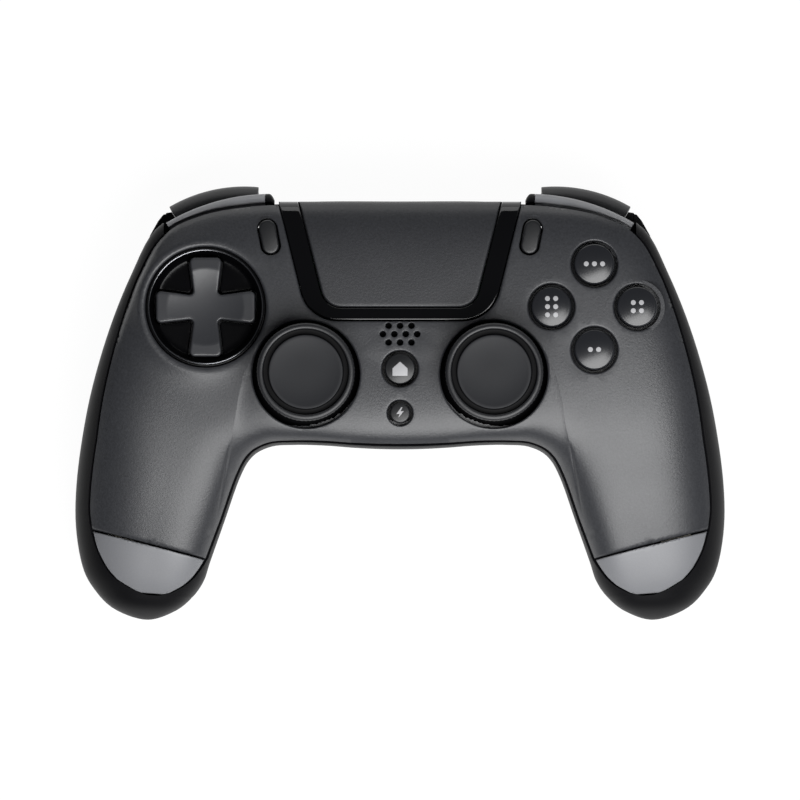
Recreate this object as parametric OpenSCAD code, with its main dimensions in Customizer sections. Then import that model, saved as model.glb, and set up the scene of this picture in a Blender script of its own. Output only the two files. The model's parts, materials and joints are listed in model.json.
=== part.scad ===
// Gamepad controller: a two-shell case with grips, sticks, a cross pad, action buttons,
// a click pad, bumpers and triggers, and the works inside.
// Millimetres. X to the player's right, Y away from the player, Z up out of the face.
// The origin is under the middle of the pad, on the table that it lies on.

/* [Case] */
// Width across both grips
case_w = 160; // [157:1:168]
// Depth of the body from its front edge to its back edge
body_d = 60.8; // [60:0.4:64]
// Reach of the grips in front of the body
grip_len = 41.3; // [39:0.1:46]
// Height of the face above the table
face_h = 40; // [39:0.5:42]
// Thickness of both shells
wall = 2.2; // [1.8:0.1:2.5]
// Gap along the seams between fixed pieces
seam = 0.2; // [0.1:0.05:0.4]

/* [Sticks] */
// Distance of each stick from the middle
stick_x = 23; // [22:0.5:24]
// Distance of the sticks from the front edge
stick_in = 17.9; // [17:0.1:19]
// Diameter of the holes that the sticks stand in
stick_hole_d = 26.4; // [25.6:0.2:27.6]
// Diameter of the stick caps
stick_cap_d = 24; // [20:0.5:24.5]
// Thickness of the rim of a stick cap
stick_rim = 2.5; // [2:0.1:3.5]
// Height of the underside of a stick cap above the face
stick_lift = 8; // [8:0.25:10]
// Depth of a stick's pivot under the face
stick_pivot = 11; // [10.5:0.25:11.5]
// Side of a stick's base
stick_base_w = 17.4; // [17:0.2:18.4]

/* [Cross pad] */
// Distance of the cross pad and the button group from the case's sides
pad_side = 32.4; // [31.5:0.1:33]
// Distance of the cross pad and the button group from the front edge
pad_in = 34.4; // [34:0.1:36]
// Diameter of the dish around the cross pad
dish_d = 29.3; // [28.6:0.1:30]
// Span of the cross pad
cross_span = 24.2; // [22:0.2:24.6]
// Width of an arm of the cross at its tip
cross_tip_w = 8; // [7:0.1:8.6]
// Width of an arm of the cross at its root
cross_root_w = 5.7; // [5:0.1:6.5]

/* [Action buttons] */
// Diameter of an action button
button_d = 9.9; // [9:0.1:10.4]
// Distance of each action button from the middle of the group
button_ring = 10.5; // [10.4:0.1:11]
// Gap between a button and its hole
button_gap = 0.8; // [0.4:0.05:0.9]
// Travel of an action button
button_travel = 1.6; // [1:0.1:1.8]

/* [Small buttons] */
// Diameter of the home button
home_d = 7.4; // [6.5:0.1:8]
// Distance of the home button from the front edge
home_in = 19.2; // [18.8:0.1:19.6]
// Diameter of the button under the home button
turbo_d = 4.9; // [4.4:0.1:5.4]
// Distance of that button from the front edge
turbo_in = 8.4; // [8:0.1:8.8]
// Width of an oval button
oval_w = 4.2; // [3.8:0.1:4.6]
// Length of an oval button
oval_l = 8.4; // [7.6:0.1:8.8]
// Distance of the oval buttons from the middle
oval_x = 32.1; // [31.8:0.1:32.6]
// Distance of the oval buttons from the back edge
oval_back = 9.2; // [8.8:0.1:9.6]
// Lean of the oval buttons away from the middle
oval_tilt = 11; // [6:1:14]
// Gap between a small button and its hole
small_gap = 0.4; // [0.3:0.05:0.6]
// Travel of a small button
small_travel = 0.8; // [0.5:0.1:0.9]

/* [Click pad] */
// Width of the click pad at its back edge
click_back_w = 48.4; // [47:0.2:49]
// Width of the click pad near its front edge
click_front_w = 36.4; // [34:0.2:37]
// Length of the click pad
click_len = 26.4; // [25:0.2:26.8]
// Width of the frame beside the click pad
frame_side = 4.2; // [3.6:0.1:4.4]
// Width of the frame in front of the click pad
frame_front = 3.3; // [2.6:0.1:3.4]
// Play between the click pad and its frame
click_gap = 0.3; // [0.2:0.05:0.4]

/* [Shoulders] */
// Radius of the shoulder edge that a bumper follows
bumper_r = 48.1; // [47.6:0.1:48.6]
// Depth of a bumper from that edge outwards
bumper_out = 2.5; // [2.2:0.1:2.8]
// Height of a bumper
bumper_h = 6.6; // [6:0.1:7]
// Radius of the outer face of a trigger
trigger_r = 36.6; // [36.2:0.1:37]
// Reach of the triggers behind the body
trigger_out = 4.5; // [4:0.1:5]
// Thickness of a trigger
trigger_t = 2.4; // [2:0.1:2.8]
// Height of a trigger
trigger_h = 19; // [17:0.5:19.5]
// Diameter of the trigger pins
trigger_pin_d = 2.5; // [2:0.1:3]

/* [Inside] */
// Thickness of the circuit boards
board_t = 1.6; // [1.2:0.1:1.8]
// Diameter of the rumble motors
motor_d = 18; // [15:0.5:18.5]
// Length of the rumble motors
motor_l = 12; // [10:0.5:12.5]
// Diameter of the case screws
screw_d = 2.6; // [2.2:0.1:3]
// Bore of the headphone socket
jack_bore = 3.6; // [3.56:0.02:3.7]
// Width of the battery
battery_w = 41; // [34:1:42]
// Thickness of the battery
battery_t = 7.4; // [6:0.2:7.6]
// Play of a pin in its bore
pin_play = 0.05; // [0.03:0.01:0.08]
// Clearance between pieces that move past each other
clear = 0.3; // [0.25:0.05:0.4]

/* [Hidden] */
$fn = 64;
eps = 0.01;
side = case_w / 2;
total_d = grip_len + body_d + trigger_out;
tip_y = -total_d / 2;
front_y = tip_y + grip_len;
back_y = front_y + body_d;

// The case is a tube bent into an arch. Each row is one cut across it, from the left
// grip's tip to the middle: the cut's inner end and outer end in plan, then the heights
// of its crest, its floor and its widest line, drawn for a face 40 high.
drawn_h = 40;
lift = face_h / drawn_h;
ROWS = [
    [side - 17.5, tip_y, side - 17.5, tip_y, 13, 13, 13],
    [side - 24.5, tip_y + 2.1, side - 9.5, tip_y + 2.7, 21.5, 4.5, 13.2],
    [side - 29, tip_y + 5.7, side - 4.5, tip_y + 7.7, 25, 1.2, 13.8],
    [side - 31.7, tip_y + 9.6, side - 1.7, tip_y + 13.3, 27.5, -0.3, 14.6],
    [side - 33.3, tip_y + 14.3, side - 0.15, tip_y + 22.8, 30, -0.5, 15.8],
    [side - 36.8, front_y - 17.2, side - 0.3, front_y - 8.5, 33, 0.3, 17.8],
    [side - 40.6, front_y - 6.6, side - 1.8, front_y + 3.2, 35.6, 2, 20.2],
    [side - 43.8, front_y - 1.4, side - 4.4, front_y + 15.8, 37.4, 3.6, 22.6],
    [side - 48.5, front_y + 0.9, side - 8.7, front_y + 30, 38.6, 4.6, 24.8],
    [side - 54, front_y + 1.2, side - 14, back_y - 17.8, 39.4, 4.8, 26.8],
    [side - 58.5, front_y + 1.1, side - 20, back_y - 6.8, 39.8, 4, 28.2],
    [side - 63, front_y + 0.85, side - 29.5, back_y - 2.2, 40, 2.6, 29],
    [11.5, front_y + 0.4, side - 43, back_y - 0.5, 40, 1, 29.3],
    [5.8, front_y + 0.1, 18.5, back_y, 40, 0, 29.4],
    [0, front_y, 0, back_y, 40, -0.5, 29.4]
];
last = len(ROWS) - 1;
// Rows at which a grip cap starts and ends
cap_t0 = 1.8;
cap_t1 = 4;
cap_wall = 1.8;
cap_seam = seam + 0.15;
// How far the front shell's edge lies inside the outline, along the rows
OUTER_INSET = [[1.8, 12.4], [2, 10], [2.5, 7.2], [3, 5.8], [3.5, 4.6], [4, 3.9], [4.5, 3.4], [6, 3.5], [8, 2.5],
    [9, 1.9], [10, 2.4], [11, 1.6], [12, 0.5], [13, 0.15], [14, 0.1]];
INNER_INSET = [[1.8, 7.6], [2, 5.2], [2.5, 3.3], [3, 2.2], [4, 0.6], [5, 0.4], [14, 0.4]];

// Places on the face
stick_y = front_y + stick_in;
pivot_z = face_h - stick_pivot;
pad_x = side - pad_side;
pad_y = front_y + pad_in;
home_y = front_y + home_in;
turbo_y = front_y + turbo_in;
oval_y = back_y - oval_back;
click_y = back_y - click_len;
frame_y = click_y - frame_front;
speaker_y = frame_y - 3.4;
speaker_w = 13;
speaker_l = 5.6;
grille_d = 1.54;
grille_pitch = 2.8;
grille_row = 2.05;

// Levels of the keys
key_top = face_h - 10;
key_t = 1.2;
membrane_t = 1;
button_foot = key_top + 3.2;
flange_t = 1.2;
flange_w = 0.9;
guide_z = button_foot + flange_t + clear;
guide_wall = 1;
button_top = face_h + 0.4;
dome_gap = 0.1;

// Cross pad
cross_top = face_h - 0.1;
cross_play = 0.5;
dish_fit = 0.1;
dish_floor = face_h - 3.8;
dish_floor_t = 1.2;
ball_r = 1.6;
ball_z = face_h - 4;
cross_flange_r = cross_span / 2;
cross_foot = key_top + 3;
contact_ring = 9.2;
collar_w = 1.9;
collar_top = face_h - 0.2;
key_plate_r = dish_d / 2;

// Stick module
tilt_sweep_r = 15.2;
dome_r = 14;
dome_t = 1.2;
dome_edge = 70;
carrier_w = stick_base_w - 2.8;
carrier_wall = 1.1;
stick_pin_r = 1.2;
ring_r = carrier_w / 2 - carrier_wall - 0.4;
ring_wall = 1.8;
lever_r = 1.8;
cross_pin_r = 1;
neck_r = 4.2;
stick_floor = 1;
carrier_lift = 1;
cap_bottom = face_h + stick_lift;
cap_top = cap_bottom + stick_rim;

// Boards and the frame under them
board_top = face_h - 20;
board_z = board_top - board_t;
tray_t = 1.4;
battery_z = 5.4 * lift;
battery_gap = 0.2;
tray_z = battery_z + battery_t + battery_gap;
tray_top = tray_z + tray_t;
post_h = board_z - tray_top;
TRAY_POSTS = [[24, front_y + 21], [24, back_y - 14]];
BOARD_POSTS = [[10, front_y + 24], [20, front_y + 34]];
centre_board_z = face_h - 13.2;
centre_board_top = centre_board_z + key_t;
centre_post = [5.6, (home_y + turbo_y) / 2];
usb_w = 8.8;
usb_h = 3.2;
jack_z = board_top + 3;
jack_nose_r = 3;
jack_l = 13;

// Shoulders
bumper_c = [side - 48.5, back_y - 48.6];
bumper_top = face_h - 7.4;
bumper_z = bumper_top - bumper_h;
bumper_tuck = 1.9;
bumper_skin = 1.8;
bumper_a0 = 89.2;
bumper_a1 = 121;
bumper_pivot = [side - 48.2, back_y - 3];
bumper_pin_r = 1.1;
bumper_hub_r = 2.2;
bumper_boss_r = 1.9;
bumper_boss_z = bumper_top - 0.7;
trigger_c = [side - 41.7, back_y + trigger_out - trigger_r];
trigger_a0 = 84.5;
trigger_a1 = 120.5;
trigger_top = bumper_z - 1;
trigger_z = trigger_top - trigger_h;
trigger_hub = [back_y - 7.8, trigger_top - 3];
trigger_hub_r = 2.9;
trigger_x = trigger_c[0] + 7.7;
trigger_hub_w = 10.6;
ear_t = 1.4;
bracket_z = trigger_hub[1] - 6;
bay_play = clear + 0.1;
bay_step_z = trigger_hub[1] - 5;
bay_step_y = trigger_hub[0] + 2.5;
bay_step_x = trigger_c[0] + 7;
lug_h = 12;

// Rumble motors and screws
motor_c = [side - 28.2, tip_y + 23.5, 15];
weight_l = 7.5;
weight_r = motor_d / 2 - 1;
SCREWS = [[side - 27, front_y + 5], [30, back_y - 17.8]];
boss_r = 3;
screw_joint_z = board_top + 1;
screw_head_r = 2.6;
screw_head_h = 2.2;
screw_seat_z = 9;
screw_l = face_h - screw_seat_z - 11;

// Form of the case

function mix(a, b, f) = a + (b - a) * f;
function smooth(f) = let (c = min(max(f, 0), 1)) c * c * (3 - 2 * c);
function pw(b, e) = pow(max(b, 0), e);
function ahead(r) = [r[2], r[3], r[0], r[1], r[5], r[4], r[6]];
function across(r) = [-r[0], r[1], -r[2], r[3], r[4], r[5], r[6]];
function row(i) = i < 0 ? ahead(ROWS[-i]) : i > last ? across(ROWS[2 * last - i]) : ROWS[i];
function curve(a, b, c, d, f) =
    b + 0.5 * f * ((c - a) + f * ((2 * a - 5 * b + 4 * c - d) + f * (3 * b - 3 * c + d - a)));
function cut(t) = let (i = min(floor(t), last - 1))
    curve(row(i - 1), row(i), row(i + 1), row(i + 2), t - i);
function body_share(t) = smooth((t - 5) / 4);
// Shape of a cut: place of the crest and the floor, then how square its four quarters are
function top_mid(t) = mix(0.45, 0.42, body_share(t));
function low_mid(t) = mix(0.5, 0.58, body_share(t));
function top_out(t) = mix(2.5, 4, body_share(t));
function top_in(t) = mix(3.2, 4.5, body_share(t));
low_out = 2.6;
low_in = 2.3;
function half_t(t) = min(t, 2 * last - t);

// Point on the case at row t and angle v around the cut, a depth under the surface
function skin(t, v, depth) = let (
        h = half_t(t), c = cut(h), flip = t > last ? 1 : -1,
        inner = [c[0], c[1]], outer = [c[2], c[3]],
        along = (outer - inner) / max(norm(outer - inner), eps),
        a = inner + along * depth, b = outer - along * depth,
        cs = cos(v), sn = sin(v), up = sn >= 0, out = cs >= 0,
        m = up ? top_mid(h) : low_mid(h),
        e = 2 / (up ? (out ? top_out(h) : top_in(h)) : (out ? low_out : low_in)),
        s = out ? m + (1 - m) * pw(cs, e) : m - m * pw(-cs, e),
        p = a + (b - a) * s,
        rise = up ? (c[4] - c[6]) * lift - depth : (c[6] - c[5]) * lift - depth)
    [flip * p[0], p[1], c[6] * lift + (up ? 1 : -1) * rise * pw(abs(sn), e)];

function cut_w(t) = let (c = cut(half_t(t))) norm([c[2] - c[0], c[3] - c[1]]);
// Angles of the two edges of the front shell, a gap further in
function edge_out(t, gap) = let (h = half_t(t), m = (1 - top_mid(h)) * cut_w(t))
    acos(pw(1 - (lookup(h, OUTER_INSET) + gap) / m, top_out(h) / 2));
function edge_in(t, gap) = let (h = half_t(t), m = top_mid(h) * cut_w(t))
    180 - acos(pw(1 - (lookup(h, INNER_INSET) + gap) / m, top_in(h) / 2));

// Row that passes through a point of the plan
function row_at(x, y, lo, hi, n) = n == 0 ? (lo + hi) / 2 :
    let (t = (lo + hi) / 2, c = cut(t),
         g = (c[0] - c[2]) * (y - c[1]) - (c[3] - c[1]) * (-abs(x) + c[0]))
    g < 0 ? row_at(x, y, t, hi, n - 1) : row_at(x, y, lo, t, n - 1);
function surface_z(x, y, up) = let (
        t = row_at(x, y, 1, last, 18), c = cut(t),
        d = [c[0] - c[2], c[3] - c[1]],
        s = ((-abs(x) + c[0]) * d[0] + (y - c[1]) * d[1]) / (d * d),
        m = up ? top_mid(t) : low_mid(t),
        p = up ? (s > m ? top_out(t) : top_in(t)) : (s > m ? low_out : low_in),
        f = pw(1 - pw(abs(s - m) / (s > m ? 1 - m : m), p), 1 / p))
    lift * (c[6] + (up ? (c[4] - c[6]) : -(c[6] - c[5])) * f);
around = [for (a = [0 : 45 : 315]) a];
// Height inside the wall at which a round boss of radius r ends, above or below
function boss_top(x, y, r) =
    min([for (a = around) surface_z(x + r * cos(a), y + r * sin(a), true)]) - 0.4;
function boss_low(x, y, r) =
    max([for (a = around) surface_z(x + r * cos(a), y + r * sin(a), false)]) + 0.4;

function quad(a, b, c, d) = [[a, b, c], [a, c, d]];
function flat(l) = [for (a = l) each a];

// Piece of the top of the case between two rows, with a thickness
module top_patch(t0, t1, rows, cols, gap, thick) {
    ts = [for (i = [0 : rows]) t0 + (t1 - t0) * i / rows];
    function v(t, j) = edge_out(t, gap) + (edge_in(t, gap) - edge_out(t, gap)) * j / cols;
    n = (rows + 1) * (cols + 1);
    function o(i, j) = i * (cols + 1) + j;
    function u(i, j) = n + o(i, j);
    points = [for (depth = [0, thick]) for (t = ts) for (j = [0 : cols]) skin(t, v(t, j), depth)];
    faces = flat(concat(
        [for (i = [0 : rows - 1]) for (j = [0 : cols - 1]) each [
            quad(o(i, j), o(i + 1, j), o(i + 1, j + 1), o(i, j + 1)),
            quad(u(i, j), u(i, j + 1), u(i + 1, j + 1), u(i + 1, j))]],
        [for (i = [0 : rows - 1]) each [
            quad(o(i + 1, 0), o(i, 0), u(i, 0), u(i + 1, 0)),
            quad(o(i, cols), o(i + 1, cols), u(i + 1, cols), u(i, cols))]],
        [for (j = [0 : cols - 1]) each [
            quad(o(0, j), o(0, j + 1), u(0, j + 1), u(0, j)),
            quad(o(rows, j + 1), o(rows, j), u(rows, j), u(rows, j + 1))]]));
    polyhedron(points, faces, convexity = 8);
}

// Tub under the front shell: closed all round at the grips' tips, open above further in
TIP_ROWS = [0.15, 0.45, 0.8, 1.2, 1.5];
half_rows = concat(TIP_ROWS, [cap_t0, 2.1], [for (t = [2.5 : 0.5 : last]) t]);
tub_rows = concat(half_rows, [for (i = [1 : len(half_rows) - 1])
    2 * last - half_rows[len(half_rows) - 1 - i]]);
module tub(thick) {
    low = 18;
    all = 24;
    n = len(tub_rows);
    open0 = len(TIP_ROWS);
    open1 = n - 1 - open0;
    hollow0 = 2;
    hollow1 = n - 1 - hollow0;
    function v(t, j) = let (a = edge_in(t, 0), b = edge_out(t, 0)) j <= low ?
        a + (b + 360 - a) * j / low : b + (a - b) * (j - low) / (all - low);
    // Near a tip the slit over the top is drawn as it is where the cap starts
    function ring(t, depth) = let (e = max(half_t(t), cap_t0), k = t > last ? 2 * last - e : e)
        [for (j = [0 : all - 1]) skin(t, v(k, j), depth)];
    function o(i, j) = i * all + j % all;
    function u(i, j) = n * all + i * all + j % all;
    tip = 2 * n * all;
    points = concat(
        [for (depth = [0, thick]) for (t = tub_rows) each ring(t, depth)],
        [skin(0, 0, 0), skin(2 * last, 0, 0)],
        [for (i = [hollow0, hollow1]) let (r = ring(tub_rows[i], thick))
            [for (k = [0 : 2]) [for (p = r) p[k]] * [for (p = r) 1] / all]]);
    function cols(i) = i >= open0 && i < open1 ? low : all;
    faces = flat(concat(
        [for (i = [0 : n - 2]) for (j = [0 : cols(i) - 1])
            quad(o(i, j), o(i + 1, j), o(i + 1, j + 1), o(i, j + 1))],
        [for (i = [hollow0 : hollow1 - 1]) for (j = [0 : cols(i) - 1])
            quad(u(i, j), u(i, j + 1), u(i + 1, j + 1), u(i + 1, j))],
        [for (i = [open0 : open1 - 1]) each [
            quad(o(i + 1, 0), o(i, 0), u(i, 0), u(i + 1, 0)),
            quad(o(i, low), o(i + 1, low), u(i + 1, low), u(i, low))]],
        [for (j = [low : all - 1]) each [
            quad(o(open0, j + 1), o(open0, j), u(open0, j), u(open0, j + 1)),
            quad(o(open1, j), o(open1, j + 1), u(open1, j + 1), u(open1, j))]],
        [[for (j = [0 : all - 1]) each [
            [tip, o(0, j), o(0, j + 1)],
            [o(n - 1, j), tip + 1, o(n - 1, j + 1)],
            [tip + 2, u(hollow0, j + 1), u(hollow0, j)],
            [u(hollow1, j), u(hollow1, j + 1), tip + 3]]]]));
    polyhedron(points, faces, convexity = 10);
}

// Shared shapes

module at(p, z) { translate([p[0], p[1], z]) children(); }
module pair(p, z) { for (s = [-1, 1]) at([s * p[0], p[1]], z) children(); }
module right_side() { mirror([1, 0, 0]) children(); }
module tube(r, bore, h) {
    difference() {
        cylinder(r = r, h = h);
        translate([0, 0, -eps]) cylinder(r = bore, h = h + 2 * eps);
    }
}
module rod_x(r, l) { rotate([0, 90, 0]) cylinder(r = r, h = l, center = true); }
module rod_y(r, l) { rotate([90, 0, 0]) cylinder(r = r, h = l, center = true); }
module box(x0, x1, y0, y1, z0, z1) {
    translate([x0, y0, z0]) cube([x1 - x0, y1 - y0, z1 - z0]);
}
module stadium(w, l) {
    square([w, l - w], center = true);
    for (s = [-1, 1]) translate([0, s * (l - w) / 2]) circle(d = w);
}
module oval_at(s, z) { translate([s * oval_x, oval_y, z]) rotate(-s * oval_tilt) children(); }

BUTTONS = [[pad_x, pad_y + button_ring], [pad_x + button_ring, pad_y],
    [pad_x, pad_y - button_ring], [pad_x - button_ring, pad_y]];
button_bore = button_d / 2 + button_gap;
home_bore = home_d / 2 + small_gap * 2;
turbo_bore = turbo_d / 2 + small_gap * 1.75;

// Outline of the click pad, grown by the given amounts, open past the back edge
module click_outline(grow, grow_front) {
    corner = 5 + grow;
    slope = (click_back_w - click_front_w) / 2 / (click_len - 2.2);
    w0 = click_front_w / 2 + grow;
    reach = click_len + trigger_out;
    hull() {
        for (s = [-1, 1]) {
            translate([s * (w0 - corner), click_y - grow_front + corner]) circle(corner);
            translate([s * (w0 + slope * reach), click_y + reach]) circle(eps);
        }
    }
}

// Side profile of the face between two angles of the middle cut, as a bar along X
module face_bar(v0, v1, high, low, w) {
    steps = 20;
    angles = [for (i = [0 : steps]) v0 + (v1 - v0) * i / steps];
    function yz(v, depth) = let (p = skin(last, v, depth)) [p[1], p[2]];
    translate([-w / 2, 0, 0]) rotate([90, 0, 90]) linear_extrude(w)
        polygon(concat([for (v = angles) yz(v, high)],
            [for (i = [steps : -1 : 0]) yz(angles[i], low)]));
}
click_v0 = edge_out(last, 0) + 0.5;
frame_t = 3;
sill_z = skin(last, click_v0, frame_t)[2] - clear;
click_v1 = 130;

// Case

module front_shell() {
    color("#6b6c6e") difference() {
        union() {
            top_patch(cap_t1, 2 * last - cap_t1, 40, 16, seam / 2, wall);
            for (b = BUTTONS) guide(b, button_bore);
            guide([0, home_y], home_bore);
            guide([0, turbo_y], turbo_bore);
            for (s = [-1, 1]) oval_at(s, guide_z) linear_extrude(
                boss_top(oval_x, oval_y, oval_l / 2) - guide_z)
                stadium(oval_w + 2 * small_gap + 2 * guide_wall,
                    oval_l + 2 * small_gap + 2 * guide_wall);
            at([pad_x, pad_y], key_top) cylinder(r = 2.4, h = boss_top(pad_x, pad_y, 2.4) - key_top);
            pair(centre_post, centre_board_top)
                cylinder(r = 1.5, h = boss_top(5.6, turbo_y, 1.5) - centre_board_top);
            for (p = SCREWS) pair(p, screw_joint_z)
                cylinder(r = boss_r, h = boss_top(p[0], p[1], boss_r) - screw_joint_z);
            pair(bumper_pivot, bumper_boss_z) cylinder(r = bumper_boss_r,
                h = boss_top(bumper_pivot[0], bumper_pivot[1] - 1.2, 1) - bumper_boss_z);
            collar();
        }
        pair([stick_x, stick_y], 0) cylinder(d = stick_hole_d, h = 2 * face_h);
        at([-pad_x, pad_y], 0) cylinder(r = dish_d / 2 + dish_fit, h = 2 * face_h);
        for (b = BUTTONS) {
            at(b, guide_z - 1) cylinder(r = button_bore, h = face_h);
            at(b, key_top) cylinder(r = button_bore + flange_w + clear, h = guide_z - key_top);
        }
        at([0, home_y], guide_z - 1) cylinder(r = home_bore, h = face_h);
        at([0, turbo_y], guide_z - 1) cylinder(r = turbo_bore, h = face_h);
        for (s = [-1, 1]) oval_at(s, guide_z - 1) linear_extrude(face_h)
            stadium(oval_w + 2 * small_gap, oval_l + 2 * small_gap);
        for (r = [-1 : 1]) for (i = [0 : 3 - abs(r)])
            translate([(i - (3 - abs(r)) / 2) * grille_pitch, speaker_y + r * grille_row, face_h / 2])
                cylinder(d = grille_d, h = face_h, $fn = 24);
        linear_extrude(2 * face_h) click_outline(frame_side + seam, frame_front + seam);
        for (p = SCREWS) pair(p, screw_joint_z - 1) cylinder(d = screw_d, h = screw_l - 8);
        pair(bumper_pivot, 0) cylinder(r = bumper_pin_r, h = bumper_top + 1.5);
        at([pad_x, pad_y], 0) cylinder(r = 1, h = key_top + 5);
    }
}
module guide(p, bore) {
    r = bore + guide_wall;
    at(p, guide_z) cylinder(r = r, h = boss_top(p[0], p[1], r) - guide_z);
}
// Raised ring that the dish sits in
module collar() {
    r = dish_d / 2 + dish_fit;
    z = face_h - 6;
    lip = 0.2;
    at([-pad_x, pad_y], 0) rotate_extrude() {
        translate([r - lip, z]) square([collar_w, collar_top - collar_w / 2 - z]);
        translate([r - lip + collar_w / 2, collar_top - collar_w / 2]) circle(d = collar_w);
    }
}

module rear_shell() {
    color("#101014") difference() {
        union() {
            tub(wall);
            for (p = SCREWS) {
                z = boss_low(p[0], p[1], boss_r);
                pair(p, z) cylinder(r = boss_r + 1.2, h = screw_seat_z + 2 - z);
                pair(p, z) cylinder(r = boss_r, h = screw_joint_z - z);
            }
            for (p = TRAY_POSTS) let (z = boss_low(p[0], p[1], 2.6))
                pair(p, z) cylinder(r = 2.6, h = tray_z - z);
            bracket_post = [trigger_x, trigger_hub[0] - 5.5];
            bracket_post_z = boss_low(bracket_post[0], bracket_post[1], 2.6);
            pair(bracket_post, bracket_post_z) cylinder(r = 2.6, h = bracket_z - bracket_post_z);
            for (s = [-1, 1]) for (x = [3.5, motor_l - 2.5]) cradle(s * (motor_c[0] + x));
            for (s = [-1, 1]) scale([s, 1, 1]) shoulder_lug();
        }
        for (p = SCREWS) {
            pair(p, -1) cylinder(r = screw_head_r + 0.3, h = screw_seat_z + 1);
            pair(p, 0) cylinder(r = screw_d / 2 + 0.2, h = face_h);
        }
        for (s = [-1, 1]) scale([s, 1, 1]) bay();
        translate([0, 0, jack_z]) rotate([90, 0, 0]) cylinder(r = jack_nose_r + seam, h = 2 * side);
        box(-usb_w / 2 - seam, usb_w / 2 + seam, back_y - 8, back_y + 5,
            board_top - seam, board_top + usb_h + seam);
        sill_w = click_back_w / 2 + frame_side + 2 * seam;
        box(-sill_w, sill_w, back_y - 6, back_y + 1, sill_z, face_h);
        box(-side - 1, side + 1, tip_y - 1, back_y + 1, -face_h, 0);
    }
}
// Saddle for a rumble motor
module cradle(x) {
    half = 5;
    rib_t = 2;
    difference() {
        box(x - rib_t / 2, x + rib_t / 2, motor_c[1] - half, motor_c[1] + half,
            boss_low(x, motor_c[1], half), motor_c[2] - 5);
        translate([x, motor_c[1], motor_c[2]]) rod_x(motor_d / 2 + pin_play, 3 * rib_t);
    }
}
// Room that the bumper and the trigger take out of the shoulder of the tub
module bay() {
    x0 = trigger_c[0] - trigger_r * cos(trigger_a0) - bay_play;
    x1 = trigger_c[0] + trigger_r * sin(trigger_a1 - 90) + bay_play;
    bumper_x1 = bumper_c[0] + (bumper_r + bumper_out) * sin(bumper_a1 - 90) + bay_play;
    y1 = back_y + 2 * trigger_out;
    box(bumper_c[0] - 2, bumper_x1, trigger_hub[0] - 4.5, y1, bumper_z - 1, face_h + 1);
    box(x0, x1, trigger_hub[0] - 1.5, y1, bay_step_z, bumper_z);
    box(x0, bay_step_x, bay_step_y, y1, -1, bay_step_z + eps);
    box(bay_step_x - eps, x1, trigger_hub[0] - 1.5, y1, -1, bay_step_z + eps);
}
// Lug of the tub beside the outer end of a trigger
module shoulder_lug() {
    x = trigger_c[0] + trigger_r * sin(trigger_a1 - 90) + bay_play;
    y = trigger_c[1] + (trigger_r - trigger_t) * cos(trigger_a1 - 90);
    translate([0, 0, trigger_top - lug_h]) linear_extrude(lug_h)
        polygon([[x, y - 6], [x, y - 0.4], [x + 0.5, y], [x + 1, y - 0.2], [x + 2.2, y - 1.7],
            [x + 4.4, y - 5.6], [x + 3, y - 6]]);
}

module grip_cap() { top_patch(cap_t0 + 0.1, cap_t1 - 0.05, 9, 12, cap_seam, cap_wall); }
module left_grip_cap() { color("#878787") grip_cap(); }
module right_grip_cap() { color("#878787") right_side() grip_cap(); }

// Click pad

hinge_y = back_y - 4.4;
hinge_z = face_h - 6;
hinge_r = 0.9;
sensor_z = face_h - 4.8;
sensor_t = 1.1;
click_t = 1.8;
shelf_z = face_h - 9.6;
switch_y = click_y + 3.4;
module touchpad_frame() {
    ear_x0 = click_back_w / 2 + 0.6;
    ear_w = 2;
    color("#0c0c0e") difference() {
        union() {
            intersection() {
                face_bar(click_v0, 170, 0, frame_t, case_w);
                linear_extrude(2 * face_h) difference() {
                    click_outline(frame_side, frame_front);
                    click_outline(click_gap, click_gap);
                }
            }
            for (s = [-1, 1]) scale([s, 1, 1])
                box(ear_x0, ear_x0 + ear_w, hinge_y - 1.6, hinge_y + 1.6, hinge_z - 1.6, hinge_z + 1.7);
            box(-5, 5, frame_y + 1, frame_y + 2.6, shelf_z, face_h - 2);
            box(-5, 5, frame_y + 1, switch_y + 2, shelf_z, shelf_z + 1.2);
        }
        translate([0, hinge_y, hinge_z]) rod_x(hinge_r + pin_play, case_w);
    }
}
module touchpad() {
    lug_x = click_back_w / 2 - 3.6;
    lug_w = 2.4;
    rib_x = 12;
    color("#3c3d40") {
        intersection() {
            face_bar(click_v0, click_v1, 0, click_t, case_w);
            linear_extrude(2 * face_h) click_outline(0, 0);
        }
        for (s = [-1, 1]) scale([s, 1, 1]) {
            box(lug_x, lug_x + lug_w, hinge_y - 1, hinge_y + 1, hinge_z - 1, hinge_z + 2.6);
            translate([lug_x + 2.5, hinge_y, hinge_z]) rod_x(hinge_r, 4.8);
            box(rib_x, rib_x + 2, click_y + 4, back_y - 9, sensor_z + sensor_t, face_h - click_t - 0.2);
        }
    }
}
module touchpad_board() {
    color("#1f4a2e") {
        box(-15, 15, click_y + 2, back_y - 8, sensor_z, sensor_z + sensor_t);
        box(-2.2, 2.2, switch_y - 2.2, switch_y + 2.2, sensor_z - 2, sensor_z);
        at([0, switch_y], shelf_z + 1.2 + 0.7) cylinder(r = 1.2, h = sensor_z - 2 - shelf_z - 1.9);
    }
}

// Cross pad

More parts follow.
